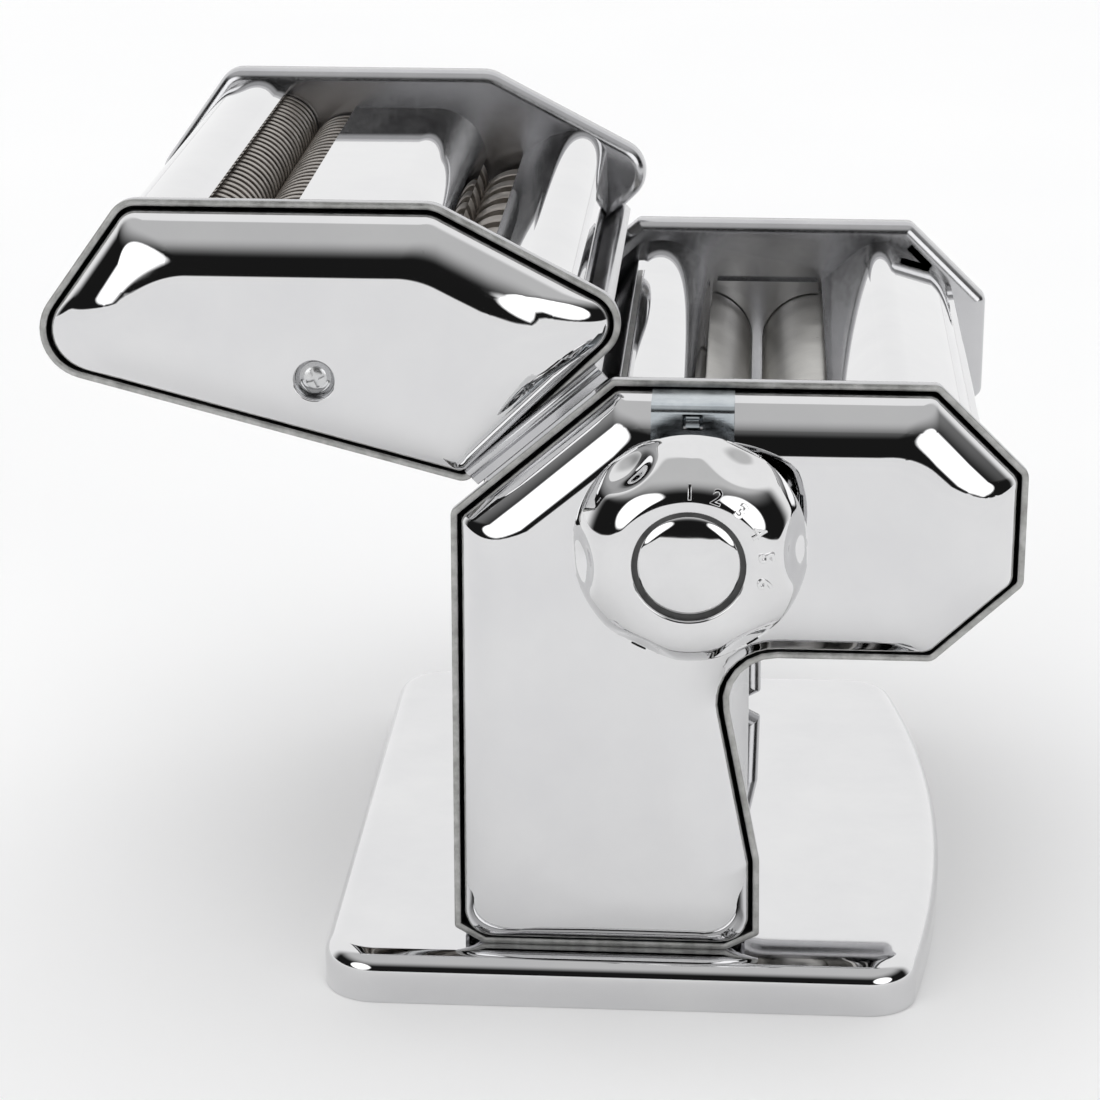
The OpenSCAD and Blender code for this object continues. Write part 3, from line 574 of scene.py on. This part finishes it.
TILT = math.radians(14.7)
ROW = (math.cos(TILT), -math.sin(TILT))
HALF_PITCH = 9.3
PAIRS = {"fine": (-91.5, 169.3), "wide": (-46.4, 157.6)}
AXES = {}
for which, mid in PAIRS.items():
    AXES[which + "_driven"] = (mid[0] - ROW[0] * HALF_PITCH, mid[1] - ROW[1] * HALF_PITCH)
    AXES[which + "_follower"] = (mid[0] + ROW[0] * HALF_PITCH, mid[1] + ROW[1] * HALF_PITCH)
SCREW = (-71.2, 150.1)
SEAT_DEPTH = 3.4


def screw_seat(name, face_y, s):
    """The dished seat: from the cover's face down to its floor, s away from the outside."""
    wall = [(5.6, 0.35), (5.0, 0.06), (4.75, 0.02), (4.55, 0.15), (4.4, 0.5), (4.3, 2.2), (4.0, 3.1), (3.4, 3.4),
            (2.0, 3.4), (2.0, 4.2), (4.6, 4.2), (5.6, 3.2)]
    return turned(name, SCREW, wall + [wall[0]], [CHROME], 72, y_sign=s, y0=face_y)


near_cut = cut(dome("cutter_near_dome", CUTTER, NEAR_WEB, NEAR_FACE, 14),
               [rod_tool(SCREW, 4.9, NEAR_FACE - 2, NEAR_FACE + 4), notch_tool(NEAR_FACE - 1, NEAR_WEB + 1)], 60)
place(join("cutter_near_shell", [near_cut, screw_seat("seat_a", NEAR_FACE, 1)], 60),
      "cutter", "cutter_near_cover")
far_cut = cut(dome("cutter_far_dome", CUTTER, FAR_WEB, CUT_FAR_FACE, 14),
              [rod_tool(SCREW, 4.9, CUT_FAR_FACE - 4, CUT_FAR_FACE + 2),
               notch_tool(FAR_WEB - 1, CUT_FAR_FACE + 1),
               rod_tool(AXES["fine_driven"], 7, CUT_FAR_FACE - 4, CUT_FAR_FACE + 2),
               rod_tool(AXES["wide_driven"], 7, CUT_FAR_FACE - 4, CUT_FAR_FACE + 2)], 60)
place(join("cutter_far_shell", [far_cut, screw_seat("seat_b", CUT_FAR_FACE, -1)], 60),
      "cutter", "cutter_far_cover")


def cross_screw(name, seat_y, s, shank):
    """Pan head with a cross recess. s points out of the cover."""
    head = [(0, 1.7), (1.4, 1.66), (2.4, 1.45), (3.1, 1.05), (3.45, 0.6), (3.5, 0.2), (3.5, 0.0), (2.0, 0.0),
            (2.0, -shank), (0, -shank)]
    body = turned(name, SCREW, head, [PLATED], 64, y_sign=s, y0=seat_y)
    tools = []
    for turn in (20, 110):
        a = math.radians(turn)
        u, v = (math.cos(a), math.sin(a)), (-math.sin(a), math.cos(a))
        pts = [(SCREW[0] + i * u[0] + j * v[0], SCREW[1] + i * u[1] + j * v[1])
               for i, j in ((-2.1, -0.34), (-0.6, -0.5), (0.6, -0.5), (2.1, -0.34),
                            (2.1, 0.34), (0.6, 0.5), (-0.6, 0.5), (-2.1, 0.34))]
        y0, y1 = sorted((seat_y + s * 0.75, seat_y + s * 2.5))
        tools.append(prism("tool", pts, y0, y1, []))
    return cut(body, tools, 35)


screws = [cross_screw("screw_a", NEAR_FACE + SEAT_DEPTH, -1, 7.5),
          cross_screw("screw_b", CUT_FAR_FACE - SEAT_DEPTH, 1, 10.0)]
place(join("cover_screws", screws, 35), "cutter", "cutter_cover_screws")


# ---- bent sheet guards between the frames ----
def band(name, line, t=SKIN, y0=NEAR_IN, y1=FAR_IN, materials=None):
    return prism(name, sheet(line, t), y0, y1, materials or [CHROME])


GUARD = inset(FRAME, 5)
corner = GUARD[10]
left_line = [(corner[0], 108)]
left_line += arc((corner[0] + 3.2, corner[1] - 1.4), 3.2, 180, 139, 8)
left_line += [(corner[0] + 36 * CH_U[0], corner[1] + 36 * CH_U[1])]
left_line += arc((-0.5, 129.8), 13.9, 120, 25, 28)
left_line += [(13.2, 132.7)]
place(band("left_guard_sheet", left_line), "stand", "left_dough_guard")
right_line = [(41.7, 133.3), (52, 142.4)] + arc((56.6, 137.5), 6.4, 126, 60, 16)
right_line += arc((61.5, 124.5), 15.3, 58, 33, 10)
right_line += arc((70.3, 129.5), 6.2, 27, 0, 8) + [(76.5, 104)]
place(band("right_guard_sheet", right_line), "stand", "right_dough_guard")
slide_line = [(11, 97), (13.5, 90)] + arc((37, 72), 22, 145, 192, 18) + [(24, 36), (24.2, BASE_H + 0.6)]
place(band("slide_sheet", slide_line[::-1], materials=[CHROME_SOFT]), "stand", "dough_slide")

cutter_lines = {
    "left": [(-130.6, 160), (-118, 178.2)] + arc((-106.5, 172.2), 12.8, 142, 62, 24) + [(-98.2, 183.3)],
    "middle": [(-81, 178.1)] + arc((-60, 164.6), 13.5, 90, 5, 28),
    "right": [(-37, 166.1), (-29.5, 171.4)] + arc((-23.5, 163.8), 8.9, 115, 20, 20) + [(-14.6, 152.5)],
}
for letter, side in zip("abc", cutter_lines):
    place(band("cutter_guard_" + letter, cutter_lines[side]),
          "cutter", "cutter_" + side + "_guard")


# ---- track on the chamfer and the folded rail that slides in it ----
def chamfer_line(pts, r=0.9, steps=5):
    """An open path in (along, above) with rounded bends, as X-Z points."""
    out = [pts[0]]
    for a, p, b in zip(pts, pts[1:], pts[2:]):
        ua, ub = unit((a[0] - p[0], a[1] - p[1])), unit((b[0] - p[0], b[1] - p[1]))
        for k in range(steps + 1):
            f = k / steps
            i, j = (1 - f) ** 2, f ** 2
            out.append((p[0] + r * (ua[0] * i + ub[0] * j), p[1] + r * (ua[1] * i + ub[1] * j)))
    out.append(pts[-1])
    return [on_chamfer(*q) for q in out]


track_line = chamfer_line([(18.5, 2.6), (11, 2.6), (11, 0), (43, 0), (43, 2.6), (35.5, 2.6)], 0.6)
place(band("track_sheet", track_line[::-1], 0.7, NEAR_EDGE, FAR_EDGE, [CHROME_SOFT]),
      "stand", "cutter_track")
top_line = chamfer_line([(9.0, 2.95), (9.0, 5.5), (47.0, 5.5), (47.0, 2.95)], 1.3)
rail = [
    band("rail_top", top_line, 0.8, NEAR_EDGE, FAR_EDGE, [CHROME_SOFT]),
    band("rail_mid", chamfer_line([(19.6, 4.2), (19.6, 3.3), (34.4, 3.3), (34.4, 4.2)], 0.5), 0.7,
         NEAR_EDGE, FAR_EDGE, [CHROME_SOFT]),
    band("rail_tongue", [on_chamfer(12.1, 1.65), on_chamfer(41.9, 1.65)], 0.62,
         NEAR_EDGE, FAR_EDGE, [CHROME_SOFT]),
    band("rail_lip", [on_chamfer(10.2, 3.6), on_chamfer(45.8, 3.6)], 0.5,
         NEAR_EDGE + 0.2, FAR_EDGE - 0.2, [EDGE]),
]
lip = [(0.8, -85.6), (1.0, -85.9), (2.7, -86.2), (2.95, -85.9), (3.2, -86.1), (3.6, -86.5), (4.2, -86.75),
       (4.8, -86.6), (5.25, -86.2), (5.5, -85.6)]
lip_rings = []
for along in (9.0, 9.15, 46.85, 47.0):
    ease = 0.12 if along in (9.0, 47.0) else 0.0
    lip_rings.append([(on_chamfer(along, a)[0], y + ease, on_chamfer(along, a)[1]) for a, y in lip])
rail.append(loft("rail_near_lip", lip_rings, [CHROME_SOFT], sharp=40))
place(join("rail_sheets", rail, 40), "cutter", "cutter_rail")


# ---- index plate ----
PLATE = (NEAR_FACE - 3.7, NEAR_FACE - 2.5)
TAB_TOP, TAB_BEND, TAB_HALF = 147.2, 1.9, 9
disc = prism("index_disc", arc(SHAFT, 21, 0, 360, 96)[:-1], *PLATE, [ZINC])
bend = [(PLATE[0], SHAFT[1])]
for k in range(7):
    q = math.radians(15 * k)
    bend.append((PLATE[0] + TAB_BEND - TAB_BEND * math.cos(q), TAB_TOP - TAB_BEND + TAB_BEND * math.sin(q)))
bend.append((NEAR_WEB, TAB_TOP))
profile = sheet(bend, 1.1)
tab_rings = [[(x, p[0], p[1]) for p in profile] for x in (SHAFT[0] - TAB_HALF, SHAFT[0] + TAB_HALF)]
tab = loft("index_tab", tab_rings, [ZINC], sharp=40)
window = box_piece("tool", (SHAFT[0] - 2.2, SHAFT[0] + 2.2), (PLATE[0] - 1, PLATE[1] + 1), (141.5, 145.1),
                   [], 0.25)
tab = cut(tab, [window], 40)
HOOK_Z = 141.9
loop = [(PLATE[0] + 0.2, HOOK_Z), (PLATE[0] + 0.9, HOOK_Z + 0.9), (PLATE[0] + 1.0, HOOK_Z + 2.0),
        (PLATE[0] + 0.3, HOOK_Z + 2.7)]
hook_rings = [[(SHAFT[0] + x, p[0], p[1]) for p in sheet(loop, -0.5)] for x in (-1.45, 1.45)]
hook = loft("punched_tab", hook_rings, [ZINC])
place(join("index_bracket", [disc, tab, hook], 40), "stand", "index_plate")


# ---- setting knob: a pressed dome with six finger dimples and raised numbers ----
DIMPLES, DIMPLE_AT, DIMPLE_RING, DIMPLE_HALF, DIMPLE_DEPTH = 6, (23.9, 5.6), 22.5, (8.8, 7.8), 1.15
KNOB_PATH = [(12.1, 12.5), (12.2, 13.1), (12.6, 13.42), (13.8, 13.45), (15.4, 13.2), (16.6, 12.82), (18.0, 12.15),
             (19.5, 11.15), (21.0, 9.8), (22.3, 8.3), (23.4, 6.7), (24.3, 5.0), (24.95, 3.3), (25.35, 1.7),
             (25.5, 0.6), (25.45, 0.15), (25.2, 0.0)]


def knob_mesh():
    outer = smooth_path(KNOB_PATH, 4)
    inner = smooth_path([(24.2, 0.0), (24.0, 2.4), (22.9, 5.4), (20.6, 8.4), (17.2, 10.7), (13.5, 11.2)], 3)
    inner += [(8.2, 11.2), (8.2, 0.6), (4.05, 0.6), (4.05, 3.4), (6.3, 3.4), (6.3, 12.1), (11.8, 12.1),
              (12.0, 12.2)]
    path = outer + inner
    seg = 288
    verts, faces = [], []
    for i, (r, h) in enumerate(path):
        for k in range(seg):
            q = 2 * math.pi * k / seg
            rr, hh = r, h
            if r > 13.4 and 0.5 < h < 13.35:
                push = 0.0
                for c in range(DIMPLES):
                    turn = (q - math.radians(4 + 60 * c) + math.pi) % (2 * math.pi) - math.pi
                    up = math.hypot(r - DIMPLE_AT[0], h - DIMPLE_AT[1])
                    d = math.hypot(turn * DIMPLE_RING / DIMPLE_HALF[0], up / DIMPLE_HALF[1])
                    if d < 1:
                        push += DIMPLE_DEPTH * (1 + math.cos(math.pi * d))
                rr, hh = r - push * 0.8, h - push * 0.5
            verts.append((SHAFT[0] + rr * math.cos(q), KNOB_Y - max(hh, 0.0), SHAFT[1] + rr * math.sin(q)))
    n = len(path)
    for i in range(n):
        for k in range(seg):
            j, m = (k + 1) % seg, (i + 1) % n
            faces.append((i * seg + k, i * seg + j, m * seg + j, m * seg + k))
    return make("knob_dome", verts, faces, [KNOB_CHROME], sharp=70)


def dial_number(text, clockwise):
    """A raised number standing on the knob's dome, its top pointing outwards."""
    curve = bpy.data.curves.new("number", "FONT")
    curve.body = text
    curve.size = 4.7 * MM
    curve.align_x, curve.align_y = "CENTER", "CENTER"
    curve.extrude, curve.bevel_depth, curve.bevel_resolution = 0.25 * MM, 0.16 * MM, 3
    obj = bpy.data.objects.new("number_" + text, curve)
    bpy.context.scene.collection.objects.link(obj)
    a = math.radians(clockwise)
    out = Vector((math.sin(a), 0, math.cos(a)))
    lean = math.radians(17)
    normal = Vector((0, -1, 0)) * math.cos(lean) + out * math.sin(lean)
    up = (out - normal * out.dot(normal)).normalized()
    side = up.cross(normal)
    spot = Vector((SHAFT[0], KNOB_Y - 13.0, SHAFT[1])) * MM + out * 16.5 * MM
    obj.matrix_world = Matrix((
        (side.x, up.x, normal.x, spot.x), (side.y, up.y, normal.y, spot.y), (side.z, up.z, normal.z, spot.z),
        (0, 0, 0, 1)))
    bpy.context.view_layer.update()
    mesh = bpy.data.meshes.new_from_object(obj.evaluated_get(bpy.context.evaluated_depsgraph_get()))
    mesh.transform(obj.matrix_world)
    bpy.data.objects.remove(obj)
    mesh.materials.clear()
    mesh.materials.append(KNOB_CHROME)
    done = bpy.data.objects.new("number_mesh", mesh)
    bpy.context.scene.collection.objects.link(done)
    return done


# A near-black ring in the gap between the cap and the knob's lip: painted shade in that recess
shade_ring_path = [(11.0, 12.11), (12.15, 12.11), (12.15, 12.35), (11.0, 12.35), (11.0, 12.11)]
shade_ring = turned("painted_shade_ring", SHAFT, shade_ring_path, [PAINTED_SHADE_STEEL], y_sign=-1, y0=KNOB_Y)
numbers = [dial_number(str(k + 1), 20.5 * k) for k in range(6)]
place(join("setting_knob", [knob_mesh(), shade_ring] + numbers, 50), "knob", "regulator_knob")
cap = [(0, 14.0)] + [(r, 14.0 - (42 - math.sqrt(42 ** 2 - r * r))) for r in [k * 0.75 for k in range(1, 14)]]
cap += [(10.5, 12.55), (10.9, 12.35), (11.1, 12.15), (11.1, 12.1), (0, 12.1)]
place(turned("knob_cap_disc", SHAFT, cap, [KNOB_CHROME], 160, y_sign=-1, y0=KNOB_Y),
      "knob", "knob_cap")


# ---- rollers ----
ROLL_Y = (-79.7, 66.7)
BARREL = [(ROLLER_R - 0.5, ROLL_Y[0]), (ROLLER_R, ROLL_Y[0] + 0.5), (ROLLER_R, ROLL_Y[1] - 0.5),
          (ROLLER_R - 0.5, ROLL_Y[1])]
BORE, HUB_R, HUB_END = 8, 9.5, 78.5


def cross_slot(axis, y0, y1):
    """The tool for the slot across a socket, which the crank's cross pin drops into."""
    return box_piece("tool", (axis[0] - 1.05, axis[0] + 1.05), (y0, y1), (axis[1] - 8, axis[1] + 8), [], 0.02)


solid = [(0, NEAR_WEB - 2), (5.7, NEAR_WEB - 2), (6, NEAR_WEB - 1.7), (6, ROLL_Y[0])] + BARREL
solid += [(6, ROLL_Y[1]), (6, FAR_FACE + 0.2), (5.7, FAR_FACE + 0.5), (4.05, FAR_FACE + 0.5),
          (4.05, FAR_FACE - 13.5), (0, FAR_FACE - 13.5)]
fixed = turned("fixed_dough_roller", FIXED, solid, [SATIN], 144)
cut(fixed, [swing(cross_slot(FIXED, FAR_FACE - 2.7, FAR_FACE + 2), FIXED, CRANK_REST)])
place(fixed, "drive_roller", "fixed_roller")
hollow = [(BORE, ROLL_Y[0])] + BARREL + [(HUB_R, ROLL_Y[1]), (HUB_R, HUB_END), (BORE, HUB_END), (BORE, ROLL_Y[0])]
place(turned("moving_dough_roller", ADJUST, hollow, [SATIN], 144), "moving_roller", "adjustable_roller")


def ribbed_roller(name, which, width, shift, far_y, socket):
    axis, r, root, gap = AXES[which], 9.7, 7.7, 0.1
    y_lo, y_hi = ROLL_Y
    count = math.floor((y_hi - y_lo - width) / (2 * width))
    start = (y_lo + y_hi) / 2 - width * (count + 0.5)
    end = start + width * (2 * count + 1)
    path = [(0, NEAR_WEB - 2), (5.2, NEAR_WEB - 2), (5.5, NEAR_WEB - 1.7), (5.5, start)]
    ease = 0.12 if width < 4 else 0.25
    ribs = count + (0 if shift else 1)
    path.append((root, start))
    for k in range(ribs):
        a = start + shift + 2 * width * k + gap
        b = a + width - 2 * gap
        path += [(root, a), (r - ease, a), (r, a + ease), (r, b - ease), (r - ease, b), (root, b)]
    path += [(root, end), (5.5, end), (5.5, far_y - 0.3), (5.2, far_y)]
    path += [(4.05, far_y), (4.05, far_y - 12), (0, far_y - 12)] if socket else [(0, far_y)]
    clean = [p for i, p in enumerate(path) if i == 0 or math.dist(p, path[i - 1]) > 1e-6]
    obj = turned(name, axis, clean, [RIBBED], 96)
    if socket:
        cut(obj, [cross_slot(axis, far_y - 3.2, far_y + 1)])
    return place(obj, which, which + "_roller")


ribbed_roller("ribbed_fine_a", "fine_driven", 2.05, 0, CUT_FAR_FACE + 0.5, True)
ribbed_roller("ribbed_fine_b", "fine_follower", 2.05, 2.05, 78.5, False)
ribbed_roller("ribbed_wide_a", "wide_driven", 6.5, 0, CUT_FAR_FACE + 0.5, True)
ribbed_roller("ribbed_wide_b", "wide_follower", 6.5, 6.5, 78.5, False)


# ---- crank and grip ----
def swept(name, path, radii, materials, seg=40):
    """A round bar along a path that lies across X, with a radius for each point."""
    rings = []
    u = Vector((1, 0, 0))
    for i, p in enumerate(path):
        along = Vector(path[min(i + 1, len(path) - 1)]) - Vector(path[max(i - 1, 0)])
        v = along.normalized().cross(u).normalized()
        row = []
        for k in range(seg):
            q = 2 * math.pi * k / seg
            row.append(tuple(Vector(p) + (u * math.cos(q) + v * math.sin(q)) * radii[i]))
        rings.append(row)
    return loft(name, rings, materials)


fx, fz, bend_r = FIXED[0], FIXED[1], 7.0
path = [(fx, FAR_FACE - 12.5, fz), (fx, FAR_FACE - 12.2, fz), (fx, CRANK_Y - bend_r, fz)]
radii = [3.7, 4.0, 4.0]
for k in range(1, 13):
    q = math.radians(7.5 * k)
    path.append((fx, CRANK_Y - bend_r + bend_r * math.sin(q), fz - bend_r + bend_r * math.cos(q)))
for k in range(0, 13):
    q = math.radians(7.5 * k)
    path.append((fx, CRANK_Y + bend_r - bend_r * math.cos(q), GRIP_Z + bend_r - bend_r * math.sin(q)))
path.append((fx, CRANK_Y + bend_r + 2, GRIP_Z))
radii += [4.0] * (len(path) - len(radii))
arm = swept("crank_rod", path, radii, [CHROME])
pin_path = [(0, 1), (3, 1), (3, 52), (4.7, 52), (5, 52.3), (5, 54), (4.4, 54.5), (0, 54.5)]
pin = turned("grip_pin", (fx, GRIP_Z), pin_path, [PLATED], 64, y0=CRANK_Y + bend_r)
cross = box_piece("cross_pin", (fx - 0.9, fx + 0.9), (FAR_FACE - 1.8, FAR_FACE), (fz - 5.6, fz + 5.6),
                  [PLATED], 0.4)
place(swing(join("crank_with_pin", [arm, pin, cross]), FIXED, CRANK_REST), "crank", "crank_arm")
GRIP = [(3.05, 0), (5.6, 0), (6.3, 0.3), (7.1, 1.0), (7.4, 2.2), (7.2, 7), (7.15, 13), (7.5, 20), (8.1, 27),
        (8.8, 34), (9.0, 39), (9.0, 43), (8.75, 46.5), (8.1, 49), (7.0, 50.8), (6.2, 51.4), (5.5, 51.4),
        (5.3, 51.2), (5.3, 49.2), (3.05, 49.2), (3.05, 0)]
grip = turned("grip_body", (fx, GRIP_Z), smooth_path(GRIP[:17], 4) + GRIP[17:], [PLASTIC], 96,
              y0=CRANK_Y + bend_r + 2.3)
place(swing(grip, FIXED, CRANK_REST), "grip", "crank_grip")

# ---- CAD nodes whose shape is right get their real finish ----
FOOT, PLATE_FINISH, SHEET = (RUBBER, "foot_rubber"), (PLATED, "plated_steel"), (CHROME_SOFT, "chrome_sheet")
SATIN_FINISH, BUSH, TEETH = (SATIN, "satin_steel"), (BRONZE, "bush_bronze"), (GEAR, "gear_steel")
FINISH = {
    "rubber_feet": FOOT, "base_screws": PLATE_FINISH, "base_nuts": PLATE_FINISH, "tie_rods": PLATE_FINISH,
    "tie_rod_nuts": PLATE_FINISH, "end_cheeks": SHEET, "scrapers": SATIN_FINISH, "back_panel": SHEET,
    "fixed_roller_bushes": BUSH, "shaft_bushes": BUSH, "gear_bracket": PLATE_FINISH, "fixed_roller_gear": TEETH,
    "eccentric_shaft": PLATE_FINISH, "knob_nut": PLATE_FINISH, "roller_bushes": BUSH,
    "adjustable_roller_gear": TEETH, "index_pin": PLATE_FINISH, "knob_spring": PLATE_FINISH,
    "cutter_tie_rods": PLATE_FINISH, "cutter_tie_rod_nuts": PLATE_FINISH, "cutter_bushes": BUSH,
    "fine_combs": SATIN_FINISH, "wide_combs": SATIN_FINISH, "fine_driven_gear": TEETH,
    "fine_follower_gear": TEETH, "wide_driven_gear": TEETH, "wide_follower_gear": TEETH,
}
for node, (material, slot) in FINISH.items():
    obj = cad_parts[node]
    obj.data.materials.clear()
    obj.data.materials.append(material)
    shade(obj, 32)


# ---- studio: pale floor, soft light, camera ----
def floor_material():
    m, t, s = nodes_of("floor_paper")
    tone = noise(t, coords(t), 3, 2, 0.5)
    link(t, colour_mix(t, spread(t, tone, 0, 1), (0.93, 0.93, 0.935), (0.95, 0.95, 0.95)), s.inputs["Base Color"])
    s.inputs["Roughness"].default_value = 0.9
    return m


bpy.ops.mesh.primitive_plane_add(size=12)
floor = bpy.context.object
floor.name = "floor"
floor.data.materials.append(floor_material())

world = bpy.data.worlds.new("studio")
bpy.context.scene.world = world
world.use_nodes = True
wt = world.node_tree
wt.nodes.clear()
w_out = wt.nodes.new("ShaderNodeOutputWorld")
w_bg = wt.nodes.new("ShaderNodeBackground")
link(wt, w_bg.outputs[0], w_out.inputs[0])
w_dir = wt.nodes.new("ShaderNodeTexCoord")
w_xyz = wt.nodes.new("ShaderNodeSeparateXYZ")
link(wt, w_dir.outputs["Generated"], w_xyz.inputs[0])
DX, DY, DZ = w_xyz.outputs


def ramp(value, a, b, lo=0.0, hi=1.0):
    r = wt.nodes.new("ShaderNodeMapRange")
    r.interpolation_type = "SMOOTHSTEP"
    for k, x in (("From Min", a), ("From Max", b), ("To Min", lo), ("To Max", hi)):
        r.inputs[k].default_value = x
    link(wt, value, r.inputs["Value"])
    return r.outputs["Result"]


def mix(fac, a, b):
    """a where fac is 0, b where it is 1."""
    keep = math_node(wt, "MULTIPLY", a, math_node(wt, "SUBTRACT", 1.0, fac))
    return math_node(wt, "ADD", keep, math_node(wt, "MULTIPLY", b, fac))


azimuth = math_node(wt, "ABSOLUTE", math_node(wt, "ARCTAN2", DX, math_node(wt, "MULTIPLY", DY, -1.0)), 0)
# The room behind the camera is dark above the horizon and gets lighter towards the ceiling
upper = ramp(DZ, 0.38, 0.80, 0.015, 0.80)
front = ramp(azimuth, 2.00, 1.60)
level = mix(front, 1.3, upper)


def from_centre(value, centre, half):
    """Squared distance from the centre, in half widths."""
    d = math_node(wt, "MULTIPLY", math_node(wt, "SUBTRACT", value, centre), 1 / half)
    return math_node(wt, "MULTIPLY", d, d)


# Two oval soft boxes, to the left and right of the camera
oval = math_node(wt, "ADD", from_centre(azimuth, 0.64, 0.37), from_centre(DZ, 0.27, 0.25))
level = mix(ramp(oval, 1.2, 0.85), level, 2.2)
# Below the horizon it is as pale as the floor
level = mix(ramp(DZ, -0.004, -0.03), level, 0.95)
w_path = wt.nodes.new("ShaderNodeLightPath")
level = mix(w_path.outputs["Is Camera Ray"], level, 1.0)
link(wt, level, w_bg.inputs["Strength"])

key = bpy.data.lights.new("key", "SUN")
key.energy = 1.0
key.angle = math.radians(70)
key_obj = bpy.data.objects.new("key", key)
key_obj.rotation_euler = (math.radians(24), math.radians(-14), 0)
key_obj.visible_glossy = False
bpy.context.scene.collection.objects.link(key_obj)

camera = bpy.data.cameras.new("camera")
camera.sensor_width = 36
camera.lens = 107.2
camera_obj = bpy.data.objects.new("camera", camera)
camera_obj.location = (0.0237, -0.7760, 0.3462)
camera_obj.rotation_euler = Vector((-0.0601, 0.9441, -0.3240)).to_track_quat("-Z", "Y").to_euler()
bpy.context.scene.collection.objects.link(camera_obj)
bpy.context.scene.camera = camera_obj
bpy.context.scene.view_settings.view_transform = "Standard"
